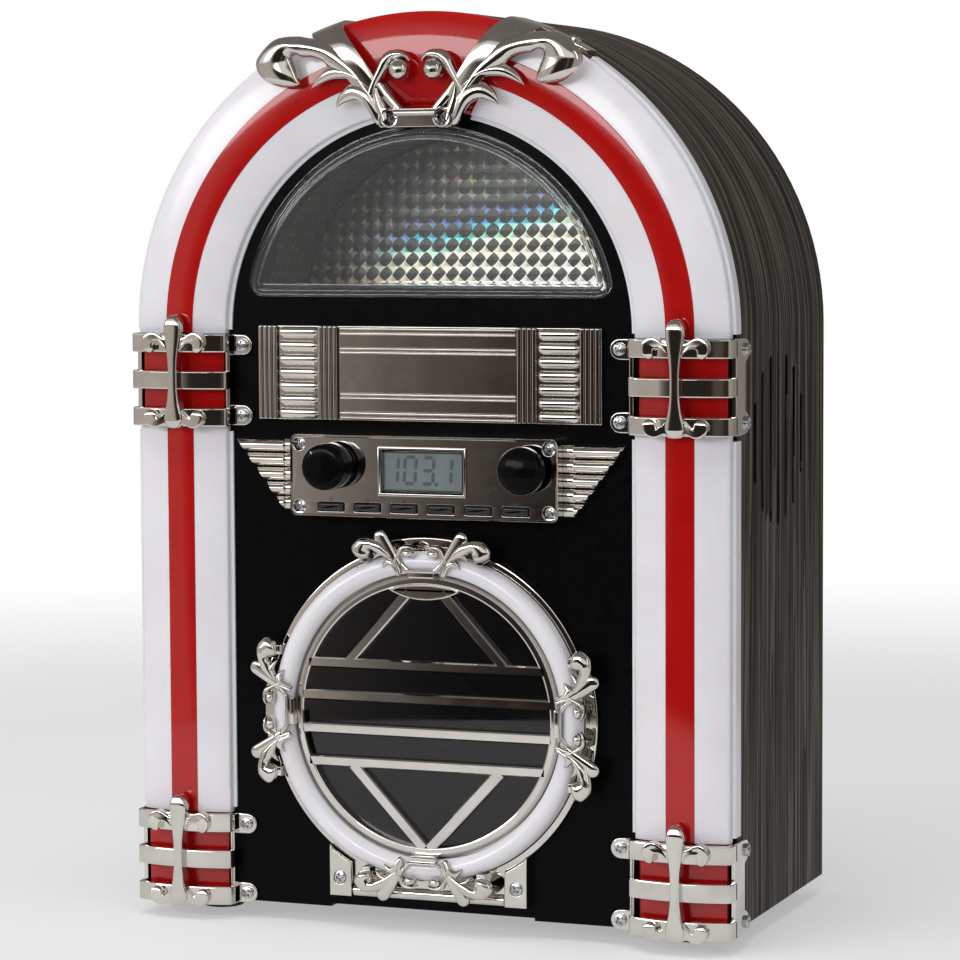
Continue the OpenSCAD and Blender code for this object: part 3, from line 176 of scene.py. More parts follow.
# Evenly spaced points along a smooth line
def traced(points, count):
    line = [Vector(q) for q in smoothLine(points, 8)]
    runs = [0.0]
    for a, b in zip(line, line[1:]):
        runs.append(runs[-1] + (b - a).length)
    even = []
    k = 0
    for i in range(count + 1):
        goal = runs[-1] * i / count
        while k < len(line) - 2 and runs[k + 1] < goal:
            k += 1
        share = (goal - runs[k]) / max(runs[k + 1] - runs[k], 1e-9)
        even.append(tuple(line[k].lerp(line[k + 1], share)))
    return even


# A swollen strip between two edges; rise(t) is its height above the flat back, boxy squares its section off
def addLeaf(shape, left, right, back, side, rise, place, across=14, boxy=2.0):
    loops = []
    for i, (a, b) in enumerate(zip(left, right)):
        t = i / (len(left) - 1)
        loop = []
        for j in range(across + 1):
            turn = math.pi * j / across
            u = (1 - math.cos(turn)) / 2
            flat = place(a[0] + (b[0] - a[0]) * u, a[1] + (b[1] - a[1]) * u)
            swell = max(0, 1 - abs(math.cos(turn)) ** boxy) ** (1 / boxy)
            loop.append(flat + (back + side + rise(t) * swell,))
        loop.append(place(*b) + (back,))
        loop.append(place(*a) + (back,))
        loops.append(loop)
    addLoft(shape, loops)


# Half-round bar between two points, its ends rounded down
def addRib(shape, a, b, r, p, high, across=10):
    a, b = Vector(a), Vector(b)
    along = (b - a).normalized()
    side = Vector((-along.y, along.x))
    ends = 3
    turns = [math.pi / 2 * i / ends for i in range(ends + 1)]
    stops = [(a + along * r * (1 - math.cos(turn)), math.sin(turn)) for turn in turns]
    stops += [(b - along * r * (1 - math.sin(turn)), math.cos(turn)) for turn in turns]
    loops = []
    for mid, size in stops:
        size = max(size, 0.02)
        loop = []
        for j in range(across + 1):
            turn = math.pi * j / across
            q = mid + side * r * size * math.cos(turn)
            loop.append((q.x, q.y, p + high * size * math.sin(turn)))
        loops.append(loop)
    addLoft(shape, loops)


# A flat sheet with holes, all edges rounded
def addCutSheet(shape, outlines, p0, p1, edge):
    curve = bpy.data.curves.new("sheet", "CURVE")
    curve.dimensions = "2D"
    curve.fill_mode = "BOTH"
    curve.extrude = (p1 - p0) / 2 - edge
    curve.bevel_depth = edge
    curve.bevel_resolution = 2
    for i, outline in enumerate(outlines):
        ring = inset(outline, edge if i == 0 else -edge)
        spline = curve.splines.new("POLY")
        spline.points.add(len(ring) - 1)
        for point, (x, z) in zip(spline.points, ring):
            point.co = (x, z, 0, 1)
        spline.use_cyclic_u = True
    holder = bpy.data.objects.new("sheet", curve)
    scene.collection.objects.link(holder)
    bpy.context.view_layer.update()
    mesh = bpy.data.meshes.new_from_object(holder.evaluated_get(bpy.context.evaluated_depsgraph_get()))
    start = len(shape["points"])
    middle = (p0 + p1) / 2
    shape["points"].extend((v.co.x, v.co.y, middle + v.co.z) for v in mesh.vertices)
    shape["faces"].extend(tuple(start + k for k in face.vertices) for face in mesh.polygons)
    bpy.data.objects.remove(holder)
    bpy.data.curves.remove(curve)
    bpy.data.meshes.remove(mesh)


def mirrored(shape):
    twin = newShape()
    twin["points"] = [(-x, z, p) for x, z, p in shape["points"]]
    twin["faces"] = [tuple(reversed(face)) for face in shape["faces"]]
    return twin


def join(shape, other):
    start = len(shape["points"])
    shape["points"].extend(other["points"])
    shape["faces"].extend(tuple(start + k for k in face) for face in other["faces"])


def bothSides(half):
    shape = newShape()
    join(shape, half)
    join(shape, mirrored(half))
    return shape


# Turns a shape into a piece that rides on a body and stands for CAD nodes
def makePiece(name, shape, material, body, stands, sharp=38, fixNormals=True):
    mesh = bpy.data.meshes.new(name)
    points = [(x * mm, (faceY - p) * mm, z * mm) for x, z, p in shape["points"]]
    mesh.from_pydata(points, [], shape["faces"])
    work = bmesh.new()
    work.from_mesh(mesh)
    bmesh.ops.remove_doubles(work, verts=work.verts, dist=2e-6)
    bmesh.ops.dissolve_degenerate(work, edges=work.edges, dist=1e-6)
    if fixNormals:
        bmesh.ops.recalc_face_normals(work, faces=work.faces)
    work.to_mesh(mesh)
    work.free()
    mesh.shade_smooth()
    mesh.set_sharp_from_angle(angle=math.radians(sharp))
    mesh.materials.append(material)
    piece = bpy.data.objects.new(name, mesh)
    scene.collection.objects.link(piece)
    even = piece.modifiers.new("evenFaces", "WEIGHTED_NORMAL")   # flat faces stay flat beside rounded edges
    even.keep_sharp = True
    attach(piece, body)
    if stands:
        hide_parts(*stands)
    return piece


# Finishes
def tint(r, g, b):
    shares = [c / 255 for c in (r, g, b)]
    return tuple(c / 12.92 if c <= 0.04045 else ((c + 0.055) / 1.055) ** 2.4 for c in shares) + (1,)


def addNode(tree, kind, values=None, **settings):
    node = tree.nodes.new(kind)
    for key, value in settings.items():
        setattr(node, key, value)
    for key, value in (values or {}).items():
        node.inputs[key].default_value = value
    return node


def blankFinish(name):
    material = bpy.data.materials.new(name)
    material.use_nodes = True
    tree = material.node_tree
    tree.nodes.clear()
    out = addNode(tree, "ShaderNodeOutputMaterial")
    shader = addNode(tree, "ShaderNodeBsdfPrincipled")
    tree.links.new(shader.outputs["BSDF"], out.inputs["Surface"])
    return material, tree, shader, out


def mathNode(tree, operation, first, second=None):
    node = addNode(tree, "ShaderNodeMath", operation=operation)
    for i, value in enumerate((first, second)):
        if value is None:
            continue
        if isinstance(value, (int, float)):
            node.inputs[i].default_value = value
        else:
            tree.links.new(value, node.inputs[i])
    return node.outputs[0]


def rangeNode(tree, value, low, high, toLow, toHigh, smooth=False):
    node = addNode(tree, "ShaderNodeMapRange",
                   {"From Min": low, "From Max": high, "To Min": toLow, "To Max": toHigh})
    node.interpolation_type = "SMOOTHSTEP" if smooth else "LINEAR"
    tree.links.new(value, node.inputs["Value"])
    return node.outputs["Result"]


def rampNode(tree, value, stops):
    node = addNode(tree, "ShaderNodeValToRGB")
    ramp = node.color_ramp
    while len(ramp.elements) < len(stops):
        ramp.elements.new(0.5)
    for element, (place, colour) in zip(ramp.elements, stops):
        element.position = place
        element.color = colour
    tree.links.new(value, node.inputs["Fac"])
    return node.outputs["Color"]


def mixNode(tree, factor, first, second):
    node = addNode(tree, "ShaderNodeMix", data_type="RGBA")
    for key, value in (("Factor", factor), ("A", first), ("B", second)):
        if isinstance(value, (int, float, tuple)):
            node.inputs[key].default_value = value
        else:
            tree.links.new(value, node.inputs[key])
    return node.outputs["Result"]


def mixShaders(tree, factor, first, second):
    node = addNode(tree, "ShaderNodeMixShader")
    for i, socket in enumerate((factor, first, second)):
        tree.links.new(socket, node.inputs[i])
    return node.outputs[0]


def objectPlace(tree):
    return addNode(tree, "ShaderNodeTexCoord").outputs["Object"]


def splitNode(tree, vector):
    node = addNode(tree, "ShaderNodeSeparateXYZ")
    tree.links.new(vector, node.inputs[0])
    return node.outputs


def flatNode(tree, x, y):
    node = addNode(tree, "ShaderNodeCombineXYZ")
    tree.links.new(x, node.inputs[0])
    tree.links.new(y, node.inputs[1])
    return node.outputs[0]


def noiseNode(tree, vector, size, values):
    node = addNode(tree, "ShaderNodeTexNoise", {"Scale": 1 / size, **values})
    tree.links.new(vector, node.inputs["Vector"])
    return node.outputs["Fac"]


def addRelief(tree, shader, height, depth, strength=1):
    bump = addNode(tree, "ShaderNodeBump", {"Strength": strength, "Distance": depth})
    tree.links.new(height, bump.inputs["Height"])
    tree.links.new(bump.outputs["Normal"], shader.inputs["Normal"])


# 1 for what the camera sees, also in metal and through glass
def seenRays(tree):
    path = addNode(tree, "ShaderNodeLightPath")
    seen = mathNode(tree, "MAXIMUM", path.outputs["Is Camera Ray"], path.outputs["Is Glossy Ray"])
    return mathNode(tree, "MAXIMUM", seen, path.outputs["Is Transmission Ray"])


noiseSpan = (0.3, 0.7)   # nearly all of a noise lies between these


# Grained finish: colour, gloss and relief all follow one noise; sizes in metres
def grained(name, look):
    material, tree, shader, out = blankFinish(name)
    stretch = addNode(tree, "ShaderNodeMapping", {"Scale": look.get("stretch", (1, 1, 1))})
    tree.links.new(objectPlace(tree), stretch.inputs["Vector"])
    value = noiseNode(tree, stretch.outputs["Vector"], look["grain"], {"Detail": look.get("detail", 4)})
    colour = rampNode(tree, value, list(zip(noiseSpan, (look["dark"], look["light"]))))
    tree.links.new(colour, shader.inputs["Base Color"])
    rough = rangeNode(tree, value, *noiseSpan, look["smooth"], look["rough"])
    tree.links.new(rough, shader.inputs["Roughness"])
    addRelief(tree, shader, value, look["relief"])
    shader.inputs["Metallic"].default_value = look.get("metal", 0)
    shader.inputs["Coat Weight"].default_value = look.get("coat", 0)
    shader.inputs["Subsurface Weight"].default_value = look.get("milky", 0)
    shader.inputs["Subsurface Scale"].default_value = look.get("milkDepth", 0.002)
    shader.inputs["Specular IOR Level"].default_value = look.get("shine", 0.5)
    return material


chrome = grained("chrome", {
    "dark": tint(198, 194, 188), "light": tint(214, 210, 204), "grain": 0.014, "detail": 2,
    "smooth": 0.03, "rough": 0.07, "relief": 0.00003, "metal": 1})
steel = grained("screwSteel", {
    "dark": tint(170, 172, 174), "light": tint(205, 208, 212), "grain": 0.0006,
    "smooth": 0.16, "rough": 0.3, "relief": 0.000008, "metal": 1})
panelBlack = grained("panelBlack", {
    "dark": tint(5, 5, 5), "light": tint(8, 8, 8), "grain": 0.004,
    "smooth": 0.24, "rough": 0.27, "relief": 0.000001, "shine": 0.05})
whiteLens = grained("milkWhite", {
    "dark": tint(228, 224, 229), "light": tint(236, 233, 238), "grain": 0.03,
    "smooth": 0.14, "rough": 0.22, "relief": 0.000015, "milky": 0.35, "milkDepth": 0.003})
redLens = grained("lampRed", {
    "dark": tint(170, 16, 15), "light": tint(180, 20, 18), "grain": 0.02,
    "smooth": 0.05, "rough": 0.09, "relief": 0.000004, "milky": 0.15, "milkDepth": 0.002})
blackBoard = grained("blackBoard", {
    "dark": tint(24, 23, 22), "light": tint(40, 38, 36), "grain": 0.0016, "detail": 8,
    "smooth": 0.6, "rough": 0.8, "relief": 0.00012})
rubber = grained("footRubber", {
    "dark": tint(16, 16, 17), "light": tint(28, 28, 29), "grain": 0.0009,
    "smooth": 0.62, "rough": 0.8, "relief": 0.00005})
blackPlastic = grained("blackPlastic", {
    "dark": tint(17, 17, 18), "light": tint(26, 26, 27), "grain": 0.0007,
    "smooth": 0.35, "rough": 0.5, "relief": 0.00003})
knobBlack = grained("knobBlack", {
    "dark": tint(8, 8, 8), "light": tint(13, 12, 12), "grain": 0.002,
    "smooth": 0.08, "rough": 0.14, "relief": 0.000004, "shine": 0.06})
keyBlack = grained("keyBlack", {
    "dark": tint(20, 20, 21), "light": tint(30, 30, 32), "grain": 0.0008,
    "smooth": 0.25, "rough": 0.38, "relief": 0.00001})
boardGreen = grained("boardGreen", {
    "dark": tint(24, 74, 42), "light": tint(46, 110, 62), "grain": 0.0022, "detail": 1,
    "smooth": 0.3, "rough": 0.45, "relief": 0.00003, "coat": 0.3})
motorMetal = grained("motorMetal", {
    "dark": tint(140, 142, 146), "light": tint(176, 178, 182), "grain": 0.0012, "stretch": (1, 1, 8),
    "smooth": 0.22, "rough": 0.36, "relief": 0.00001, "metal": 1})
speakerCone = grained("speakerCone", {
    "dark": tint(18, 18, 19), "light": tint(34, 33, 33), "grain": 0.0012, "detail": 8,
    "smooth": 0.7, "rough": 0.9, "relief": 0.00008})
coreSteel = grained("coreSteel", {
    "dark": tint(74, 68, 62), "light": tint(120, 112, 102), "grain": 0.0012, "stretch": (1, 14, 1),
    "smooth": 0.4, "rough": 0.6, "relief": 0.00008, "metal": 0.7})
gearCream = grained("gearCream", {
    "dark": tint(214, 208, 192), "light": tint(232, 228, 214), "grain": 0.002,
    "smooth": 0.35, "rough": 0.48, "relief": 0.00001, "milky": 0.1})
displayGrey = grained("displayGrey", {
    "dark": tint(82, 96, 100), "light": tint(97, 110, 110), "grain": 0.012, "detail": 2,
    "smooth": 0.3, "rough": 0.4, "relief": 0.000002})
segmentInk = grained("segmentInk", {
    "dark": tint(20, 23, 25), "light": tint(30, 33, 35), "grain": 0.001,
    "smooth": 0.4, "rough": 0.5, "relief": 0.000002})

woodLook = {"fibre": 0.0017, "band": 0.016, "run": 0.018, "rings": 9, "fibreShare": 0.72, "ringShare": 0.2,
            "dark": tint(25, 21, 18), "middle": tint(60, 54, 48), "light": tint(104, 96, 87),
            "stops": (0.36, 0.46, 0.57), "smooth": 0.46, "rough": 0.62, "relief": 0.00018, "shine": 0.12,
            "slotShade": tint(9, 8, 8), "skin": (0.0004, 0.0008)}


# Veneer whose grain follows the wrap: up the sides and over the arch
def veneer(name, look):
    material, tree, shader, out = blankFinish(name)
    x, y, z = splitNode(tree, objectPlace(tree))
    rise = mathNode(tree, "SUBTRACT", z, archZ * mm)
    up = mathNode(tree, "MAXIMUM", rise, 0)
    down = mathNode(tree, "MINIMUM", rise, 0)
    turn = mathNode(tree, "ARCTAN2", mathNode(tree, "ABSOLUTE", x), up)   # from the crest outward
    reach = mathNode(tree, "SUBTRACT", mathNode(tree, "MULTIPLY", turn, halfW * mm), down)
    signed = mathNode(tree, "MULTIPLY", reach, mathNode(tree, "SIGN", x))
    flat = flatNode(tree, y, mathNode(tree, "MULTIPLY", signed, look["run"]))
    fibre = noiseNode(tree, flat, look["fibre"], {"Detail": 7, "Roughness": 0.62})
    band = noiseNode(tree, flat, look["band"], {"Detail": 3, "Distortion": 0.8})
    rings = mathNode(tree, "FRACT", mathNode(tree, "MULTIPLY", band, look["rings"]))
    mixed = mathNode(tree, "ADD", mathNode(tree, "MULTIPLY", fibre, look["fibreShare"]),
                     mathNode(tree, "MULTIPLY", rings, look["ringShare"]))
    tones = [look["dark"], look["middle"], look["light"]]
    colour = rampNode(tree, mixed, list(zip(look["stops"], tones)))
    square = mathNode(tree, "ADD", mathNode(tree, "MULTIPLY", x, x), mathNode(tree, "MULTIPLY", up, up))
    deep = mathNode(tree, "SUBTRACT", halfW * mm, mathNode(tree, "SQRT", square))   # below the veneer's face
    slotShadeMask = rangeNode(tree, deep, *look["skin"], 0, 1)   # painted shade: slot walls and edges below the veneer's face are painted near black
    tree.links.new(mixNode(tree, slotShadeMask, colour, look["slotShade"]), shader.inputs["Base Color"])
    rough = rangeNode(tree, mixed, *noiseSpan, look["rough"], look["smooth"])
    tree.links.new(rough, shader.inputs["Roughness"])
    addRelief(tree, shader, mixed, look["relief"])
    shader.inputs["Specular IOR Level"].default_value = look["shine"]
    return material


wood = veneer("ashVeneer", woodLook)


# Clear or smoked plastic; lamp light passes straight through to what lies behind
def clearFinish(name, look):
    material, tree, shader, out = blankFinish(name)
    shader.inputs["Base Color"].default_value = look["colour"]
    shader.inputs["Transmission Weight"].default_value = 1
    shader.inputs["IOR"].default_value = look["ior"]
    noise = noiseNode(tree, objectPlace(tree), look["grain"], {"Detail": 3})
    rough = rangeNode(tree, noise, *noiseSpan, look["smooth"], look["rough"])
    tree.links.new(rough, shader.inputs["Roughness"])
    path = addNode(tree, "ShaderNodeLightPath")
    through = mathNode(tree, "MAXIMUM", path.outputs["Is Shadow Ray"], path.outputs["Is Diffuse Ray"])
    film = addNode(tree, "ShaderNodeBsdfTransparent", {"Color": look["pass"]})
    surface = mixShaders(tree, through, shader.outputs["BSDF"], film.outputs[0])
    tree.links.new(surface, out.inputs["Surface"])
    return material


clearLens = clearFinish("clearLens", {
    "colour": tint(250, 252, 252), "pass": (0.92, 0.93, 0.93, 1), "ior": 1.47,
    "grain": 0.02, "smooth": 0.0, "rough": 0.02})
smokedLens = clearFinish("smokedLens", {
    "colour": tint(84, 84, 86), "pass": (0.1, 0.1, 0.105, 1), "ior": 1.49,
    "grain": 0.02, "smooth": 0.01, "rough": 0.04})

# Foil settings, including the painted reflection on the stars, their painted glint and the painted shade of
# every other facet
foilLook = {"pitch": 5.9, "hollow": 0.8, "slant": (0.84, 1.14), "small": 0.4, "large": 0.57, "edge": 0.05,
            "base": tint(66, 66, 59), "faint": tint(120, 120, 112), "warm": tint(232, 196, 164),
            "warmth": 0.7, "paintedFacetShade": 0.68, "speck": 0.3, "spread": 4.0, "line": 31.0, "lean": 0.2,
            "lit": (-68, -22), "hueSpan": (-9, 30), "glowSpan": (-10, 5), "sizeSpan": (-2, 16), "dim": 0.08,
            "quiet": (0.35, 0.9), "paintedGlint": 0.3, "metal": 0.3, "gloss": (0.22, 0.42), "deepest": 1.4,
            "relief": 0.0004, "strength": 0.6,
            "rainbow": [(0.0, tint(104, 98, 120)), (0.16, tint(92, 88, 190)), (0.26, tint(66, 140, 226)),
                        (0.38, tint(92, 206, 206)), (0.5, tint(206, 240, 214)), (0.64, tint(250, 238, 214)),
                        (1.0, tint(252, 250, 240))]}


# Prism foil: dark pillows between hollow stars; the colours follow a line that climbs to the right. The
# rainbow hues are the foil's pattern, while the stars' brightness below that line and toward the right, and
# their cream tone there, are painted reflection of lamp light
def prismFoil(name, look):
    material, tree, shader, out = blankFinish(name)
    cells = splitNode(tree, addNode(tree, "ShaderNodeUVMap", uv_map="cells").outputs[0])
    u, v = [mathNode(tree, "SUBTRACT", mathNode(tree, "FRACT", axis), 0.5) for axis in cells[:2]]
    side = mathNode(tree, "GREATER_THAN", mathNode(tree, "MULTIPLY", u, v), 0)   # every other facet of a star
    arms = []
    for offset in (u, v):
        inward = mathNode(tree, "SUBTRACT", 0.5, mathNode(tree, "ABSOLUTE", offset))
        arms.append(mathNode(tree, "POWER", inward, look["hollow"]))
    slant = rangeNode(tree, side, 0, 1, *look["slant"])
    d = mathNode(tree, "MULTIPLY", mathNode(tree, "ADD", *arms), slant)   # away from the star's middle
    chance = addNode(tree, "ShaderNodeTexWhiteNoise", noise_dimensions="2D")
    cell = flatNode(tree, *[mathNode(tree, "FLOOR", axis) for axis in cells[:2]])
    tree.links.new(cell, chance.inputs["Vector"])
    place = splitNode(tree, objectPlace(tree))
    x = mathNode(tree, "MULTIPLY", place[0], 1 / mm)
    z = mathNode(tree, "MULTIPLY", place[2], 1 / mm)
    line = mathNode(tree, "ADD", mathNode(tree, "MULTIPLY", x, look["lean"]), windowZ + look["line"])
    jitter = rangeNode(tree, chance.outputs["Value"], 0, 1, -look["spread"] / 2, look["spread"] / 2)
    under = mathNode(tree, "ADD", mathNode(tree, "SUBTRACT", line, z), jitter)   # mm below the colour line
    # Painted reflection: the stars brighten below the colour line and toward the right, warming to cream
    # there, standing in for lamp light reflected by the foil
    right = rangeNode(tree, x, *look["lit"], 0, 1, smooth=True)
    hue = rampNode(tree, rangeNode(tree, under, *look["hueSpan"], 0, 1), look["rainbow"])
    lively = mixNode(tree, rangeNode(tree, right, 0, 1, look["warmth"], 0), hue, look["warm"])
    glow = mathNode(tree, "MULTIPLY", rangeNode(tree, under, *look["glowSpan"], 0, 1, smooth=True),
                    rangeNode(tree, right, 0, 1, look["dim"], 1))
    size = rangeNode(tree, mathNode(tree, "MULTIPLY", under, right), *look["sizeSpan"],
                     look["small"], look["large"], smooth=True)
    within = mathNode(tree, "SUBTRACT", size, d)
    star = rangeNode(tree, within, -look["edge"], look["edge"], 0, 1, smooth=True)
    speck = mixNode(tree, look["speck"], look["faint"], chance.outputs["Color"])
    share = mathNode(tree, "MULTIPLY", star, rangeNode(tree, chance.outputs["Value"], 0, 1, *look["quiet"]))
    quiet = mixNode(tree, share, look["base"], speck)
    # Painted shade: every other facet of a star is darker, as if turned away from the light
    facetPaintedShade = rangeNode(tree, side, 0, 1, 1, look["paintedFacetShade"])
    paintedReflection = mathNode(tree, "MULTIPLY", mathNode(tree, "MULTIPLY", star, glow), facetPaintedShade)
    colour = mixNode(tree, paintedReflection, quiet, lively)
    tree.links.new(colour, shader.inputs["Base Color"])
    # Painted glint: the bright stars glow by emission, standing in for lamp light glinting off the foil
    tree.links.new(colour, shader.inputs["Emission Color"])
    tree.links.new(mathNode(tree, "MULTIPLY", paintedReflection, look["paintedGlint"]), shader.inputs["Emission Strength"])
    shader.inputs["Metallic"].default_value = look["metal"]
    tree.links.new(rangeNode(tree, d, 0, look["deepest"], *look["gloss"]), shader.inputs["Roughness"])
    addRelief(tree, shader, d, look["relief"], look["strength"])
    return material


foil = prismFoil("prismFoil", foilLook)
print("finishes made")


def dress(material, *names):
    for name in names:
        for slot in nodes[name].material_slots:
            slot.material = material


dress(wood, "cabinet_wrap")
dress(blackBoard, "base_board", "rear_cover")
dress(rubber, "feet")
dress(panelBlack, "front_panel")
dress(boardGreen, "light_boards", "control_board", "main_board", "ring_board")
dress(blackPlastic, "window_housing", "light_switch", "mains_inlet", "aux_jack", "disc_well", "door_latch",
      "disc_hub", "pickup_sled")
dress(motorMetal, "volume_pot", "drive_chassis", "spindle_motor", "sled_motor")
dress(steel, "guide_rods", "hinge_pin")
dress(speakerCone, "left_speaker", "right_speaker")
dress(coreSteel, "transformer")
dress(gearCream, "sled_gear")
dress(displayGrey, "lcd_module")
dress(clearLens, "lcd_window")
dress(smokedLens, "door_window")
print("carried-over nodes dressed")


# Light tubes: a flat crown that rolls over into round shoulders
def tubeLine(inward=0, lift=0, count=44):
    half = tubeHalf - inward
    shoulder = tube["shoulderR"] - inward
    top = tube["crest"] + lift - inward
    blend = tube["blend"]   # a higher value bends more tightly
    line = [(-half, 0)]
    for i in range(count + 1):
        d = half * math.sin(math.pi * (i / count - 0.5))
        crown = top - d * d / (2 * tube["crownR"])
        over = max(0, abs(d) - half + shoulder)
        roll = top - shoulder + math.sqrt(max(0, shoulder ** 2 - over ** 2)) + 0.3
        line.append((d, -math.log(math.exp(-crown * blend) + math.exp(-roll * blend)) / blend))
    line.append((half, 0))
    return line


def shellLine(outer, inner):
    return outer + list(reversed(inner))


lensSection = shellLine(tubeLine(), tubeLine(tube["wall"]))
lipEdge = tubeHalf + tube["lip"]
lipRoot = tubeHalf - 0.4
lipHigh, lipBack = tube["lipHigh"], tube["lipBack"]
lipIn = [(-lipEdge, 0), (-lipEdge, 0.9), (0.4 - lipEdge, lipHigh), (-lipRoot, lipHigh), (-lipRoot, 0)]
lipOut = [(lipRoot, lipBack), (lipRoot, lipHigh), (lipEdge - 0.6, lipHigh), (lipEdge - 0.1, 0.8),
          (lipEdge, 0.2), (lipEdge, lipBack)]
inlay = {"gap": 0.1, "rise": 0.16, "roll": 0.25, "edge": 0.05, "root": 1, "steps": 16}
stripeHalf = tube["stripe"] / 2 - inlay["gap"]


def crestAt(d):
    return tube["crest"] - d * d / (2 * tube["crownR"])


stripeEdge = crestAt(stripeHalf)
stripeSection = [(-stripeHalf, stripeEdge - inlay["root"]), (-stripeHalf, stripeEdge - inlay["edge"])]
for i in range(inlay["steps"] + 1):
    d = (stripeHalf - inlay["roll"]) * (2 * i / inlay["steps"] - 1)
    stripeSection.append((d, crestAt(d) + inlay["rise"]))
stripeSection += [(stripeHalf, stripeEdge - inlay["edge"]), (stripeHalf, stripeEdge - inlay["root"])]


def addColumn(shape, section, z0, z1):
    addLoft(shape, [[(tubeMid + d, z, p) for d, p in section] for z in (z0, z1)])


wedge = {"foot": 15, "lean": math.radians(33.4), "drop": 4}


# Angle at which a ring of radius r meets the crown's slanted edge
def wedgeAngle(r):
    base = crownZ - wedge["drop"] - archZ
    reach = (base * math.tan(wedge["lean"]) - wedge["foot"]) * math.cos(wedge["lean"])
    return math.acos(-reach / r) - wedge["lean"]


def addArch(shape, section, a0, a1, steps=56):
    loops = []
    for i in range(steps + 1):
        t = i / steps
        loop = []
        for d, p in section:
            r = tubeMid + d
            a = a0(r) + (a1(r) - a0(r)) * t
            loop.append((r * math.cos(a), archZ + r * math.sin(a), p))
        loops.append(loop)
    addLoft(shape, loops)


columnLow, columnHigh = [corner.z for corner in box("right_column_lens")]
archLow = box("arch_lenses")[0].z
lipGap = 2
column = newShape()
addColumn(column, lensSection, columnLow, columnHigh)
addColumn(column, lipIn, columnLow + lipGap, columnHigh - lipGap)
addColumn(column, lipOut, columnLow + lipGap, columnHigh - lipGap)
makePiece("rightColumnLens", column, whiteLens, "cabinet", ["right_column_lens"])
makePiece("leftColumnLens", mirrored(column), whiteLens, "cabinet", ["left_column_lens"])

spring = lambda r: 0.0   # level with the arch's centre
lipEnd = lambda r: math.radians(57)   # short of the crown's lugs
archHalf = newShape()
addArch(archHalf, lensSection, spring, wedgeAngle)
addArch(archHalf, lipIn, spring, wedgeAngle)
addArch(archHalf, lipOut, spring, lipEnd)
addColumn(archHalf, lensSection, archLow, archZ)
makePiece("archLenses", bothSides(archHalf), whiteLens, "cabinet", ["arch_lenses"])

stripe = newShape()
addColumn(stripe, stripeSection, columnLow, columnHigh)
addColumn(stripe, stripeSection, archLow, archZ)
addArch(stripe, stripeSection, spring, wedgeAngle)
makePiece("redStripes", bothSides(stripe), redLens, "cabinet", ["red_stripes"])


def addCrownArc(shape, section, gap, steps):
    start = lambda r: wedgeAngle(r) + gap / r
    addArch(shape, section, start, lambda r: math.pi - start(r), steps)


dome = {"lift": 0.05, "gap": 0.1, "stepGap": 0.4, "stepsIn": (1.6, 3.6), "stepHalf": 0.5,
        "step": [(-1, -1.2), (-1, 0.5), (0, 0.8), (1, 0.5), (1, -1.2)]}
crownGlass = newShape()
addCrownArc(crownGlass, shellLine(tubeLine(0, dome["lift"]), tubeLine(tube["wall"])), dome["gap"], 40)
for inward in dome["stepsIn"]:   # two low steps at the dome's foot
    d = tubeIn + inward - tubeMid
    stepSection = [(d + k * dome["stepHalf"], crestAt(d) + p) for k, p in dome["step"]]
    addCrownArc(crownGlass, stepSection, dome["stepGap"], 24)
makePiece("crownGlass", crownGlass, redLens, "cabinet", ["crown_lens"])
print("light tubes made")

# Tube clamps: three bands, side plates, screw ears and a swollen lily ornament
clamp = {"height": 37.5, "band": 7.5, "bandT": 1.8, "gap": 2.8, "screws": 28.5, "ear": 8.4, "reach": 4.6,
         "sideY": 11.9, "strip": 4.2, "sunk": 1.9, "lilyUp": 3.5, "tab": 1.6, "front": 1.5, "waist": 1.2,
         "waistHalf": 9, "insert": (1.5, 3.3)}
clampHeights = {level: round(middleOf(level + "_right_clamp").z - clamp["lilyUp"], 1)
                for level in ("upper", "lower")}
bandPitch = (clamp["height"] - clamp["band"]) / 2
clampIn = tubeIn - clamp["bandT"]
clampScrewX = clampIn - clamp["reach"]
clampCrest = tube["crest"] + clamp["gap"] + clamp["bandT"]
lily = {"side": 2.6, "stemRise": 2.2, "curlRise": 1.5, "stemBoxy": 4.5, "curlBoxy": 7.0,
        "stem": [(0.3, -19.5), (1.7, -19.1), (2.9, -18.0), (3.8, -16.2), (3.9, -14.4), (3.4, -12.0),
                 (2.6, -8.5), (2.1, -4.0), (1.95, 1.0), (2.1, 7.0), (2.6, 12.0), (3.1, 15.0), (3.5, 18.0),
                 (3.75, 20.6), (3.5, 23.0), (2.6, 25.0), (1.4, 26.1), (0.2, 26.5)],
        "upperOut": [(1.0, 16.6), (2.8, 16.9), (5.2, 17.7), (8.0, 19.3), (10.6, 19.5), (12.9, 17.9),
                     (13.6, 15.2), (12.8, 12.6), (11.2, 11.3), (10.2, 11.2)],
        "upperIn": [(1.0, 9.5), (2.3, 11.6), (4.0, 13.8), (6.2, 15.0), (8.2, 15.0), (8.9, 14.0),
                    (8.9, 12.8), (9.2, 11.8), (10.0, 11.2)],
        "lowerOut": [(1.0, -19.3), (2.6, -19.0), (4.0, -18.0), (5.6, -18.4), (8.0, -19.3), (10.6, -18.9),
                     (12.8, -16.8), (13.2, -14.2), (11.8, -12.4), (10.4, -12.0)],
        "lowerIn": [(1.0, -9.0), (2.4, -11.0), (4.2, -13.6), (6.2, -15.4), (7.2, -15.0), (7.8, -13.6),
                    (8.8, -12.5), (9.8, -12.05)]}


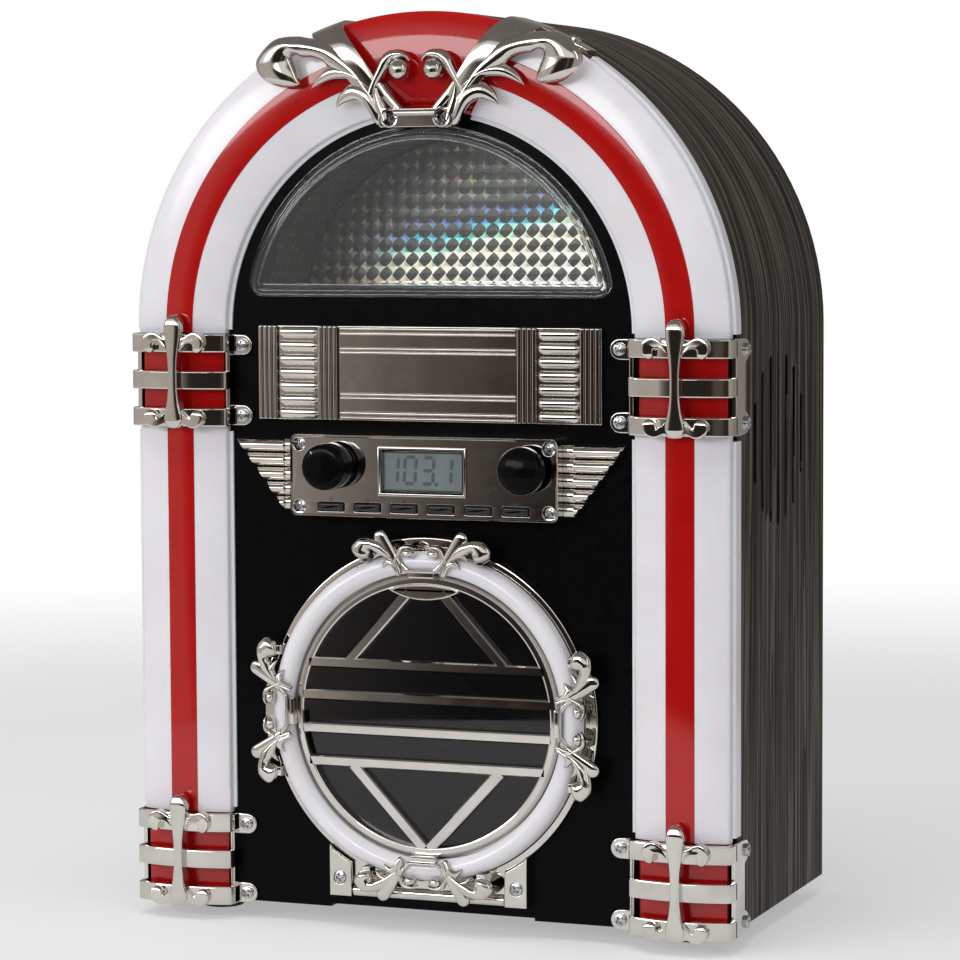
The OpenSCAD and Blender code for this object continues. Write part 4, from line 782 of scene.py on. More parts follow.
def addLily(shape, place, back):
    right = traced(lily["stem"], 64)
    left = [(-x, z) for x, z in right]
    swell = lambda t: lily["stemRise"] * min(1, 3 * math.sin(math.pi * t)) ** 0.5
    addLeaf(shape, left, right, back, lily["side"], swell, place, 22, lily["stemBoxy"])
    curl = lambda t: lily["curlRise"] * (0.6 + 0.4 * min(1, 1.6 * t)) * min(1, 5 * (1 - t) + 0.1) ** 0.5
    for s in (1, -1):
        onSide = lambda x, z: place(s * x, z)
        for level in ("upper", "lower"):
            out, within = [traced(lily[level + edge], 34) for edge in ("Out", "In")]
            addLeaf(shape, out, within, back, lily["side"], curl, onSide, 22, lily["curlBoxy"])


def addBand(shape, z0, z1, edge=0.55):
    inner = tubeLine(0, clamp["gap"])
    ends = [(0, edge), (edge * 0.3, edge * 0.3), (edge, 0), (edge + 0.1, 0), (edge + 0.2, 0)]
    rows = [(z0 + up, d) for up, d in ends] + [(z1 - up, d) for up, d in reversed(ends)]
    loops = []
    for z, d in rows:
        outer = tubeLine(d - clamp["bandT"], clamp["gap"])
        loops.append([(tubeMid + a, z, b) for a, b in shellLine(outer, inner)])
    addLoft(shape, loops)


def sidePlate(shape, outline, x0, x1, edge):
    flatShape = newShape()
    addPlate(flatShape, outline, roundEdge(edge, x0, x1, 3))
    flatShape["points"] = [(p, z, q) for q, z, p in flatShape["points"]]   # drawn in p and z, thick along X
    join(shape, flatShape)


def clampShape(zc):
    shape = newShape()
    half = clamp["height"] / 2
    r = clamp["ear"] / 2
    screwZ = [zc - clamp["screws"] / 2, zc + clamp["screws"] / 2]
    for k in (-1, 0, 1):
        z = zc + k * bandPitch
        addBand(shape, z - clamp["band"] / 2, z + clamp["band"] / 2)
    addBlock(shape, clampIn, tubeIn, zc - half, zc + half, 0, clamp["strip"], 0.4, 0.3)
    for z in screwZ:
        tab = arc(clampScrewX, z, r, 90, 270, 14) + [(clampIn + 1, z - r), (clampIn + 1, z + r)]
        addPlate(shape, tab, roundEdge(0.5, 0, clamp["tab"], 3))
    front, back = clamp["front"], -clamp["sideY"]
    waist = back + clamp["waist"]
    outline = [(front, zc - half), (front, zc + half), (back + r, zc + half)]
    outline += arc(back, screwZ[1], r, 90, 250, 10)
    outline += [(waist, zc + clamp["waistHalf"]), (waist, zc - clamp["waistHalf"])]   # between the ears
    outline += arc(back, screwZ[0], r, 110, 270, 10)
    outline += [(back + r, zc - half)]
    sidePlate(shape, outline, halfW + 0.05, halfW + clamp["bandT"], 0.4)
    addLily(shape, lambda x, z: (tubeMid + x, zc + z), clampCrest - clamp["sunk"])
    return shape


for level, zc in clampHeights.items():
    right = clampShape(zc)
    for hand, shape in (("right", right), ("left", mirrored(right))):
        node = level + "_" + hand + "_clamp"
        makePiece(level + hand.title() + "Clamp", shape, chrome, "cabinet", [node])

insert = newShape()
insertSection = shellLine(*[tubeLine(inward) for inward in clamp["insert"]])
for zc in clampHeights.values():
    addColumn(insert, insertSection, zc - clamp["height"] / 2, zc + clamp["height"] / 2)
makePiece("clampInserts", bothSides(insert), redLens, "cabinet", ["clamp_inserts"])
print("clamps made")

# Leaf scroll, right half, drawn from the middle of its bar's lower edge
scroll = {"main": 4.5, "leaf": 2.9, "curl": 3.3, "bar": 3.4, "stemShare": 0.7, "wall": 0.9, "side": 0.5,
          "eye": (46.5, 21.5), "barHalf": 8.6, "barZ": (2.7, 5.8), "drop": (7.2, 21.2), "dropWide": 0.95,
          "mainOut": [(16.0, 9.0), (19.9, 14.4), (24.4, 21.7), (29.3, 26.7), (34.8, 31.1), (41.7, 33.2),
                      (49.9, 34.9)],
          "mainIn": [(20.5, 9.6), (24.0, 14.0), (29.0, 18.0), (37.2, 22.5), (39.6, 24.6), (43.7, 26.1),
                     (48.5, 26.4)],
          "headOut": [(49.9, 34.9), (56.0, 34.8), (60.7, 33.7), (64.8, 30.5), (68.1, 26.6), (68.8, 23.5),
                      (66.8, 19.1), (62.0, 16.0), (56.6, 14.8), (51.8, 15.0), (49.8, 16.2)],
          "headIn": [(48.5, 26.4), (51.2, 27.6), (52.9, 26.9), (52.9, 25.0), (51.2, 21.2), (49.9, 16.8)],
          "upperOut": [(18.5, 13.4), (21.0, 16.0), (27.9, 21.2), (35.5, 23.0), (41.5, 19.6), (45.0, 14.4)],
          "upperIn": [(17.5, 10.0), (18.9, 12.8), (25.8, 16.9), (31.3, 17.8), (37.5, 17.3), (44.9, 14.3)],
          "lowerOut": [(16.0, 8.0), (17.0, 10.4), (18.9, 13.4), (22.3, 15.8), (27.9, 16.0), (32.0, 12.8),
                       (34.2, 9.0), (34.3, 6.9)],
          "lowerIn": [(14.6, -1.0), (17.4, 0.0), (20.9, 5.8), (23.7, 8.3), (27.1, 9.2), (31.3, 8.2),
                      (34.1, 6.8)],
          "curlOut": [(21.4, 12.0), (18.5, 18.3), (16.3, 22.8), (14.7, 26.2), (12.0, 28.3), (8.7, 29.0),
                      (5.4, 28.5), (2.8, 26.4), (2.3, 24.6)],
          "curlIn": [(17.0, 11.0), (16.5, 14.2), (13.7, 18.7), (11.3, 22.3), (10.2, 24.2), (8.0, 25.2),
                     (5.0, 25.6), (3.1, 24.3)],
          "stemOut": [(15.2, -0.6), (17.4, 5.0), (18.4, 10.0), (18.6, 14.0)],
          "stemIn": [(11.8, 2.6), (12.6, 6.4), (14.6, 10.6), (15.6, 14.0)],
          "wallOut": [(9.4, 4.4), (13.0, 8.2), (16.2, 12.0), (17.6, 15.4)],
          "wallIn": [(5.8, 5.8), (9.4, 9.8), (12.8, 13.6), (15.0, 16.4)],
          "ball": [(axisR, 4.8), (1.6, 4.6), (3.0, 4.0), (3.95, 2.8), (4.45, 1.3), (4.5, 0)]}


def addScroll(shape, place, back, deep, sink, fat=0):
    side = scroll["side"] * deep
    eyeX, eyeZ = scroll["eye"]

    # Draws the inner edge in, which closes the eye
    def plump(points):
        return [(x + (eyeX - x) * fat, z + (eyeZ - z) * fat) for x, z in points]

    def strip(leaf, count, rise, low=back):
        out, within = [traced(scroll[leaf + edge], count) for edge in ("Out", "In")]
        addLeaf(shape, out, within, low, side + back - low, rise, place)

    outer = traced(scroll["mainOut"], 24)[:-1] + traced(scroll["headOut"], 32)
    mainIn = scroll["mainIn"][:2] + plump(scroll["mainIn"][2:])
    headIn = plump(scroll["headIn"][:-1]) + scroll["headIn"][-1:]
    inner = traced(mainIn, 24)[:-1] + traced(headIn, 32)
    swell = lambda t: 0.5 + 0.5 * min(1, t / 0.5) if t < 0.75 else 1 - 0.8 * ((t - 0.75) / 0.25) ** 2
    addLeaf(shape, outer, inner, back, side, lambda t: scroll["main"] * deep * swell(t), place, 16)
    leafRise = lambda t: scroll["leaf"] * deep * math.sin(math.pi * (0.2 + 0.75 * t))
    curlRise = lambda t: scroll["curl"] * deep * (0.75 + 0.25 * t) * min(1, 5 * (1 - t) + 0.2) ** 0.5
    strip("upper", 22, leafRise)
    strip("lower", 22, leafRise)
    strip("curl", 30, curlRise)
    strip("stem", 14, lambda t: scroll["bar"] * scroll["stemShare"] * deep)
    strip("wall", 14, lambda t: scroll["wall"] * deep, back - sink)
    drop = newShape()
    addLathe(drop, scroll["ball"], 0, 0, 28)
    dropX, dropZ = scroll["drop"]
    drop["points"] = [place(dropX + scroll["dropWide"] * x, dropZ + z) + (back + p * deep,)
                      for x, z, p in drop["points"]]
    join(shape, drop)


def addScrollBar(shape, place, back, deep):
    ends = [scroll["barHalf"] * (i / 20 * 2 - 1) for i in range(21)]
    low, high = [[(x, z) for x in ends] for z in scroll["barZ"]]
    addLeaf(shape, high, low, back, scroll["side"] * deep, lambda t: scroll["bar"] * deep, place)


# Strap that runs up the tube, rolls over its edge and lies back on the cabinet's top
strap = {"thick": 2.0, "gap": 0.3, "frontT": 1.6, "camber": 0.5, "low": (8.0, 13.6), "high": (16.0, 22.2),
         "path": [(93.5, 11.6), (100, 12.4), (108, 12.9), (115, 12.6), (120, 11.4), (124, 8.8), (126.6, 5.2),
                  (127.9, 1.2)],   # away from the arch's centre, forward
         "tail": (-3, -9, -16)}


def addStrap(shape):
    start = strap["path"][0][0]
    top = halfW + strap["gap"] + strap["thick"]
    path = smoothLine(strap["path"] + [(top, p) for p in strap["tail"]], 4)
    across = 8
    loops = []
    for r, p in path:
        t = min(1, max(0, (r - start) / (top - start)))
        a0, a1 = [low + (high - low) * t for low, high in zip(strap["low"], strap["high"])]
        onFront = r < top - strap["thick"]
        lowR = r - (strap["gap"] if onFront else strap["thick"])
        lowP = p - (strap["frontT"] if onFront else 0)
        front = []
        back = []
        for j in range(across + 1):
            u = j / across
            a = math.radians(90 - a0 - (a1 - a0) * u)
            swell = strap["camber"] * (1 - (2 * u - 1) ** 4) if onFront else 0
            front.append((r * math.cos(a), archZ + r * math.sin(a), p + swell))
            back.append((lowR * math.cos(a), archZ + lowR * math.sin(a), lowP))
        loops.append(front + list(reversed(back)))
    addLoft(shape, loops)


# Lug beside the strap's tail, for its screw
lug = {"angle": 27.2, "p0": -15.0, "p1": -5.8, "end": 31.0, "start": 20.0, "screwP": -10.0, "edge": 0.4,
       "tuck": 0.8, "steps": 12}


def addLug(shape):
    loops = []
    lowR, highR = halfW + skinGap, halfW + strap["thick"]
    steps, edge = lug["steps"], lug["edge"]
    for i in range(steps + 1):
        a = math.radians(90 - lug["start"] - (lug["end"] - lug["start"]) * i / steps)
        tuck = lug["tuck"] if i in (0, steps) else 0
        p0, p1 = lug["p0"] + tuck, lug["p1"] - tuck
        section = [(lowR, p0), (lowR, p1), (highR - edge, p1), (highR, p1 - edge), (highR, p0 + edge),
                   (highR - edge, p0)]
        loops.append([(r * math.cos(a), archZ + r * math.sin(a), p) for r, p in section])
    addLoft(shape, loops)


# Crown ornament: a scroll, strap and lug on each side, joined by a bar, a foot and two blocks behind it
crown = {"lift": 3.7, "sink": 3.2, "screwX": 11.0, "screwZ": 2.2, "seat": 6.55, "cupR": 2.9,
         "cup": [(2.9, 7.0), (2.9, 12.2), (3.1, 12.9), (3.5, 13.0), (3.9, 12.7), (4.0, 12.0), (4.0, 7.0)],
         "footP": (11.0, 12.8),
         "foot": [(15.0, -1.4), (16.0, 1.2), (15.4, 4.6), (14.2, 6.2), (8.8, 6.0)],
         "shelfHalf": 14, "shelfZ": 3.3, "shelfP": (0.05, 6.5), "riserHalf": 6.6, "riserZ": (0.2, 4.4),
         "riserP": 6.0}


def makeCrown():
    onCrown = lambda x, z: (x, crownZ + z)
    back = tube["crest"] + crown["lift"]
    screwX, screwZ = crown["screwX"], crownZ + crown["screwZ"]
    right = newShape()
    addScroll(right, onCrown, back, 1.0, crown["sink"])
    addStrap(right)
    addLug(right)
    addLathe(right, crown["cup"], screwX, screwZ, 28, True)
    shape = bothSides(right)
    addScrollBar(shape, onCrown, back, 1.0)
    foot = [onCrown(x, z) for x, z in crown["foot"]]
    foot += [(-x, z) for x, z in reversed(foot)]
    cups = [circle(s * screwX, screwZ, crown["cupR"]) for s in (1, -1)]
    addCutSheet(shape, [foot] + cups, *crown["footP"], 0.4)
    half = crown["shelfHalf"]
    addBlock(shape, -half, half, crownZ, crownZ + crown["shelfZ"], *crown["shelfP"])
    half = crown["riserHalf"]
    low, high = [crownZ + z for z in crown["riserZ"]]
    addBlock(shape, -half, half, low, high, crown["riserP"], back + 1)
    makePiece("crownOrnament", shape, chrome, "cabinet", ["crown_ornament"], 50)


makeCrown()
print("crown ornament made")

# Arched window with rounded lower corners
window = {"radius": 79.4, "corner": 6.0, "rim": 3.4, "boxDepth": 50.0}
windowMid = windowTop - window["radius"]


def halfMoon(inward, count=72):
    r = window["radius"] - inward
    low = windowZ + inward
    corner = max(window["corner"] - inward, 1.0)
    cz = low + corner
    cx = math.sqrt((r - corner) ** 2 - (cz - windowMid) ** 2)
    lean = math.degrees(math.atan2(cz - windowMid, cx))
    return (arc(cx, cz, corner, -90, lean, 8)[:-1] + arc(0, windowMid, r, lean, 180 - lean, count)
            + arc(-cx, cz, corner, 180 - lean, 270, 8)[1:])


glass = newShape()
glassSteps = [(4.4, 0.1), (0.3, 0.1), (0, 0.4), (0, 1.3), (0.25, 1.7), (0.7, 1.8), (1.2, 1.7), (1.5, 1.3),
              (2.1, 1.3), (2.4, 1.75), (2.9, 1.9), (3.4, 1.85), (3.7, 1.5), (4.1, 1.5), (4.4, 2.1),
              (4.9, 2.6), (5.3, 2.72), (5.7, 2.75), (6.0, 2.75), (6.4, 2.75)]   # inward, forward
addLoft(glass, [[(x, z, p) for x, z in halfMoon(d)] for d, p in glassSteps])
makePiece("windowGlass", glass, clearLens, "cabinet", ["window_lens"], 30)

# Foil: a flat back and a curved wall, with a dark seam between them and tabs along the wall's front edge
foilCut = {"seam": 1.1, "front": -11.6, "tab": -7.2, "tabs": ((24, 31), (52, 57.5), (122, 128), (149, 156)),
           "steps": 158}


def makeFoil():
    low = windowZ + window["rim"] + 0.2 - windowMid
    wallR = window["radius"] - window["rim"] - 0.4
    backR = wallR - foilCut["seam"]
    start, backStart = [math.degrees(math.asin(low / r)) for r in (wallR, backR)]
    pBack = -window["boxDepth"] + 0.7
    rim = arc(0, windowMid, backR, backStart, 180 - backStart, 96)
    points = [(x, z, pBack) for x, z in rim]
    faces = [tuple(range(len(rim)))]
    for i in range(foilCut["steps"] + 1):
        a = start + (180 - 2 * start) * i / foilCut["steps"]
        tabbed = any(a0 <= a <= a1 for a0, a1 in foilCut["tabs"])
        x = wallR * math.cos(math.radians(a))
        z = windowMid + wallR * math.sin(math.radians(a))
        points += [(x, z, pBack), (x, z, foilCut["tab" if tabbed else "front"])]
        if i:
            k = len(points) - 4
            faces.append((k, k + 1, k + 3, k + 2))
    shape = {"points": points, "faces": faces}
    piece = makePiece("windowFoil", shape, foil, "cabinet", ["window_foil"], 30, False)
    layer = piece.data.uv_layers.new(name="cells")
    for loop in piece.data.loops:
        co = piece.data.vertices[loop.vertex_index].co / mm
        if math.hypot(co.x, co.z - windowMid) > wallR - 0.2:
            cell = (math.atan2(co.z - windowMid, co.x) * wallR, co.y)   # unrolled along the wall
        else:
            cell = (co.x, co.z)
        layer.data[loop.index].uv = (cell[0] / foilLook["pitch"], cell[1] / foilLook["pitch"])


makeFoil()
print("window made")

# Nameplate grille: flutes, ribs and a plain middle
grille = {"strip": 9.0, "field": 38.0, "back": 1.6, "rise": 1.7, "ribs": 7, "ribFill": 0.43, "flutes": 4,
          "fluteFill": 0.42, "fluteRise": 1.5, "margin": 0.3, "sunk": 0.1,
          "lines": ((1.05, 0.55), (3.05, 0.65), (9.0, 0.5), (10.6, 0.6))}
plateHalf = plateHigh.x
plateZ = (plateLow.z + plateHigh.z) / 2
plateH = plateHigh.z - plateLow.z


def makeNameplate():
    shape = newShape()
    back = grille["back"]
    addBlock(shape, -plateHalf, plateHalf, plateLow.z, plateHigh.z, skinGap, back, 0.35, 0.6)
    side = newShape()
    outer = plateHalf - grille["strip"]
    margin, foot = grille["margin"], back - grille["sunk"]
    pitch = (grille["strip"] - 2 * margin) / grille["flutes"]
    wide = pitch * grille["fluteFill"]
    for x in (grille["field"], outer):
        for k in range(grille["flutes"]):
            mid = x + margin + (k + 0.5) * pitch
            addBlock(side, mid - wide, mid + wide, plateLow.z + 0.2, plateHigh.z - 0.2, foot,
                     back + grille["fluteRise"], 0.32, 0.3)
    pitch = plateH / grille["ribs"]
    start = grille["field"] + grille["strip"] - 0.2
    for k in range(grille["ribs"]):
        z = plateLow.z + (k + 0.5) * pitch
        addRib(side, (start, z), (outer + 0.2, z), pitch * grille["ribFill"], foot, grille["rise"])
    join(shape, bothSides(side))
    edge = grille["field"] - 0.2
    for s in (-1, 1):
        for reach, r in grille["lines"]:
            z = plateZ + s * (plateH / 2 - reach)
            addRib(shape, (-edge, z), (edge, z), r, foot, r + 0.3)
    makePiece("nameplateGrille", shape, chrome, "cabinet", ["nameplate_grille"])


makeNameplate()

# Wings: five stepped half-round ribs with slanted ends
wing = {"count": 5, "root": 4.6, "low": 1.2, "high": 4.1, "inner": 2.6, "shortest": 4.5, "slant": 0.8,
        "groove": 0.02, "boxy": 0.75, "roll": 0.8, "steps": 14}


# Section of one rib; x may lean from its upper to its lower edge
def wingSection(xTop, xLow, top, step, tall):
    loop = []
    for i in range(wing["steps"] + 1):
        t = i / wing["steps"]
        z = top - step * (wing["groove"] + (1 - 2 * wing["groove"]) * t)
        swell = math.sin(math.pi * t) ** wing["boxy"] if 0 < t < 1 else 0
        loop.append((xTop + (xLow - xTop) * t, z, wing["low"] + (tall - wing["low"]) * swell))
    return loop + [(x, z, skinGap) for x, z, p in (loop[-1], loop[0])]


def makeWings():
    low, high = box("wing_trim")
    root = fasciaHigh.x + 0.1
    shelf = root + wing["root"]
    step = (high.z - low.z) / wing["count"]
    run = (high.x - root - wing["shortest"]) / wing["count"]
    half = newShape()
    for k in range(wing["count"]):
        tip = high.x - k * run - 0.2
        top = high.z - k * step
        addLoft(half, [wingSection(x, x, top, step, wing["inner"]) for x in (root, shelf)])
        slanted = wingSection(tip, tip - wing["slant"] * run, top, step, wing["high"])
        rolled = [[(x - wing["roll"], z, p) for x, z, p in slanted],
                  [(x, z, p * 0.75 + 0.1) for x, z, p in slanted]]
        addLoft(half, [wingSection(shelf, shelf, top, step, wing["high"])] + rolled)
    makePiece("wingTrim", bothSides(half), chrome, "cabinet", ["wing_trim"], 45)


makeWings()
print("nameplate and wings made")

# Control fascia
fascia = {"wall": 1.6, "rise": 7.5, "corner": 3.0, "sheet": 1.2, "bezelW": 37.6, "bezelH": 19.6,
          "bezelIn": 1.6, "lcdUp": 2.3, "knobUp": 4.2, "knobHole": 4.0, "screwIn": 4.0, "screwUp": 3.9,
          "screwHole": 2.75, "cup": 3.2, "cupIn": 2.72, "cupOut": 3.7}
cap = {"wide": 10.9, "high": 3.1, "pitch": 15.75, "up": 4.1, "gap": 0.35, "flangeX": 0.9, "flangeZ": 0.55,
       "stem": 1.1}
fasciaZ = (fasciaLow.z + fasciaHigh.z) / 2
fasciaHalf = fasciaHigh.x
fasciaH = fasciaHigh.z - fasciaLow.z
keyNames = ["power_key", "repeat_key", "stop_key", "play_key", "back_key", "next_key"]
keyZ = fasciaLow.z + cap["up"]
lcdZ = fasciaZ + fascia["lcdUp"]
knobSpots = {"volume": (middleOf("volume_knob").x, fasciaZ + fascia["knobUp"]),
             "light": (middleOf("light_button").x, fasciaZ + fascia["knobUp"])}
keyPlaces = [(k - (len(keyNames) - 1) / 2) * cap["pitch"] for k in range(len(keyNames))]
fasciaScrews = [(s * (fasciaHalf - fascia["screwIn"]), fasciaZ + t * (fasciaH / 2 - fascia["screwUp"]))
                for s in (-1, 1) for t in (-1, 1)]


def addFrame(shape, outline, profile):
    loops = [[(x, z, p) for x, z in (inset(outline, d) if d else outline)] for d, p in profile]
    addLoft(shape, loops, ring=True)


def makeFascia():
    shape = newShape()
    rise = fascia["rise"]
    outer = roundRect(-fasciaHalf, fasciaHalf, fasciaLow.z, fasciaHigh.z, fascia["corner"])
    w, h = cap["wide"] / 2 + cap["gap"], cap["high"] / 2 + cap["gap"]
    holes = [roundRect(x - w, x + w, keyZ - h, keyZ + h, 0.5, 3) for x in keyPlaces]
    w, h = fascia["bezelW"] / 2, fascia["bezelH"] / 2
    bezelLine = rect(-w, w, lcdZ - h, lcdZ + h)
    w, h = w - fascia["bezelIn"], h - fascia["bezelIn"]
    holes.append(rect(-w, w, lcdZ - h, lcdZ + h))
    holes += [circle(x, z, fascia["knobHole"]) for x, z in knobSpots.values()]
    holes += [circle(x, z, fascia["screwHole"]) for x, z in fasciaScrews]
    addCutSheet(shape, [inset(outer, 0.4)] + holes, rise - fascia["sheet"], rise, 0.22)
    skirt = [(0, skinGap), (0, rise - 0.2), (0.15, rise + 0.35), (0.45, rise + 0.62), (0.8, rise + 0.6),
             (1.1, rise + 0.2), (1.15, rise - 0.6), (fascia["wall"], rise - 0.7), (fascia["wall"], skinGap)]
    addFrame(shape, outer, skirt)
    bezel = [(0, rise - 0.3), (0, rise + 0.7), (0.25, rise + 1.1), (0.6, rise + 1.2), (1.0, rise + 1.1),
             (1.7, rise - 0.1), (1.75, rise - 0.9), (1.2, rise - 0.9)]
    addFrame(shape, bezelLine, bezel)
    inner, outer, low = fascia["cupIn"], fascia["cupOut"], rise - fascia["cup"]
    cup = [(inner, rise - 0.1), (inner, low), (outer, low), (outer, rise - 1.0)]
    for x, z in fasciaScrews:   # the cups hold the recessed screws
        addLathe(shape, cup, x, z, 24, True)
    makePiece("controlFascia", shape, chrome, "cabinet", ["control_fascia"])


makeFascia()


# Round pin behind a key or knob
def addPin(shape, r, front, back, x, z, steps):
    addLathe(shape, [(axisR, front), (r, front), (r, back), (axisR, back)], x, z, steps)


def makeKey(name, x):
    shape = newShape()
    w, h = cap["wide"] / 2, cap["high"] / 2
    low, high = box(name)
    top, end = faceY - low.y, faceY - high.y
    inside = fascia["rise"] - fascia["wall"]
    steps = [(0, inside - 1.5), (0, top - 0.75), (0.12, top - 0.4), (0.4, top - 0.12), (0.75, top),
             (1.1, top - 0.08)]
    addPlate(shape, roundRect(x - w, x + w, keyZ - h, keyZ + h, 0.35, 3), steps)
    w, h = w + cap["flangeX"], h + cap["flangeZ"]
    addBlock(shape, x - w, x + w, keyZ - h, keyZ + h, inside - 1.6, inside - 0.4, 0.2)
    addPin(shape, cap["stem"], inside - 1, end, x, keyZ + 0.3, 20)
    makePiece(name.split("_")[0] + "Key", shape, keyBlack, name, [name])


for name, x in zip(keyNames, keyPlaces):
    makeKey(name, x)

# Volume knob, and the light button, which pushes in
knob = {"r": 9.5, "len": 12.2, "gap": 0.8, "shaft": 3.0, "mark": 128, "markR": (5.2, 8.0)}


def makeKnob():
    x, z = knobSpots["volume"]
    root = fascia["rise"] + knob["gap"]
    r, top = knob["r"], root + knob["len"]
    end = faceY - box("volume_knob")[1].y
    profile = [(axisR, root), (r - 1.0, root), (r - 0.7, root + 0.3), (r - 0.7, root + 2.0),
               (r - 0.1, root + 2.3), (r, root + 2.7), (r - 0.06, top - 6.2), (r - 0.22, top - 6.0),
               (r - 0.22, top - 5.6), (r - 0.08, top - 5.4), (r - 0.3, top - 2.6), (r - 0.5, top - 1.6),
               (r - 1.1, top - 0.9), (r - 2.2, top - 0.5), (r - 3.2, top - 0.35), (4, top - 0.12),
               (axisR, top - 0.02)]
    shape = newShape()
    addLathe(shape, profile, x, z, 72)
    addPin(shape, knob["shaft"], root + 0.5, end, x, z, 28)
    makePiece("volumeKnob", shape, knobBlack, "volume_knob", ["volume_knob"], 32)
    mark = newShape()   # thin pointer line across the knob's front edge
    a = math.radians(knob["mark"])
    inner, outer = [(x + reach * math.cos(a), z + reach * math.sin(a)) for reach in knob["markR"]]
    addRib(mark, inner, outer, 0.35, top - 0.95, 0.55, 6)
    makePiece("knobPointer", mark, whiteLens, "volume_knob", [])


button = {"travel": 3, "dome": 5.2, "bend": (0.1, 0.7), "stem": 2.0, "steps": 12}


def makeButton():
    x, z = knobSpots["light"]
    low, high = box("light_button")
    top, end = faceY - low.y, faceY - high.y
    root = fascia["rise"] + knob["gap"] + button["travel"]
    r, dome = knob["r"], top - button["dome"]
    bendR, bendP = r - button["bend"][0], top - button["bend"][1]
    profile = [(axisR, root), (r - 0.6, root), (r - 0.15, root + 0.25), (r, root + 0.7), (r, dome)]
    for i in range(1, button["steps"] + 1):   # the dome is one curve from the side to the middle
        t = i / button["steps"]
        q = (1 - t) ** 2 * r + 2 * t * (1 - t) * bendR + t * t * axisR
        p = (1 - t) ** 2 * dome + 2 * t * (1 - t) * bendP + t * t * top
        profile.append((q, p))
    shape = newShape()
    addLathe(shape, profile, x, z, 72)
    addPin(shape, button["stem"], root + 0.5, end, x, z, 24)
    makePiece("lightButton", shape, knobBlack, "light_button", ["light_button"], 32)


makeKnob()
makeButton()

# Figures on the display: seven-segment strokes on the module's face
figures = {"text": "103.1", "height": 10.5, "width": 4.65, "pitch": 7.6, "stroke": 1.45, "slant": 0.07,
           "gap": 0.3, "left": -15.9, "low": -4.7, "ink": (0.01, 0.05)}
strokes = {"0": "abcdef", "1": "bc", "2": "abged", "3": "abgcd", "4": "fgbc", "5": "afgcd", "6": "afgedc",
           "7": "abc", "8": "abcdefg", "9": "abcdfg"}


def makeFigures():
    shape = newShape()
    face = faceY - box("lcd_module")[0].y
    steps = [(0, face + p) for p in figures["ink"]]
    w, h, s, g = [figures[key] for key in ("width", "height", "stroke", "gap")]
    lines = {"a": ((0, h), (w, h)), "g": ((0, h / 2), (w, h / 2)), "d": ((0, 0), (w, 0)),
             "f": ((0, h / 2), (0, h)), "b": ((w, h / 2), (w, h)), "e": ((0, 0), (0, h / 2)),
             "c": ((w, 0), (w, h / 2))}
    x0 = figures["left"]
    z0 = lcdZ + figures["low"]
    lean = lambda x, z: (x + (z - z0) * figures["slant"], z)

    def addStroke(a, b):
        a, b = Vector(a), Vector(b)
        along = (b - a).normalized()
        side = Vector((-along.y, along.x)) * s / 2
        a += along * g
        b -= along * g
        tip = along * s / 2
        outline = [a, a + tip + side, b - tip + side, b, b - tip - side, a + tip - side]
        addPlate(shape, [lean(q.x, q.y) for q in outline], steps)

    for i, digit in enumerate(figures["text"].replace(".", "")):
        ox = x0 + i * figures["pitch"]
        for stroke in strokes[digit]:
            a, b = lines[stroke]
            addStroke((ox + a[0], z0 + a[1]), (ox + b[0], z0 + b[1]))
    dot = x0 + figures["text"].index(".") * figures["pitch"] - (figures["pitch"] - w) / 2
    addPlate(shape, [lean(*q) for q in rect(dot - s / 2, dot + s / 2, z0 - s / 2, z0 + s / 2)], steps)
    makePiece("displayFigures", shape, segmentInk, "cabinet", [])


makeFigures()

# Printed signs on the fascia: one above each key, ON and OFF by the light button
signs = {"up": 2.95, "r": 0.72, "line": 0.24, "letterH": 1.7, "letterW": 1.1, "pitch": 1.6, "away": 14.2,
         "on": 6.2, "off": -9.0, "ink": (0.004, 0.04), "square": 0.6, "arrowBack": 0.5, "arrowTip": 0.6,
         "power": (125, 415), "again": (20, 300), "hook": [(0.05, -0.35), (0.85, 0.2), (0.05, 0.7)],
         "play": -0.9, "pause": (0.35, 0.85), "skip": (-0.65, 0.55), "skipBar": 1.4,
         "letters": {"O": [(0, 0, 0, 1), (1, 0, 1, 1), (0, 1, 1, 1), (0, 0, 1, 0)],
                     "N": [(0, 0, 0, 1), (1, 0, 1, 1), (0, 1, 1, 0)],
                     "F": [(0, 0, 0, 1), (0, 1, 1, 1), (0, 0.52, 0.8, 0.52)]}}


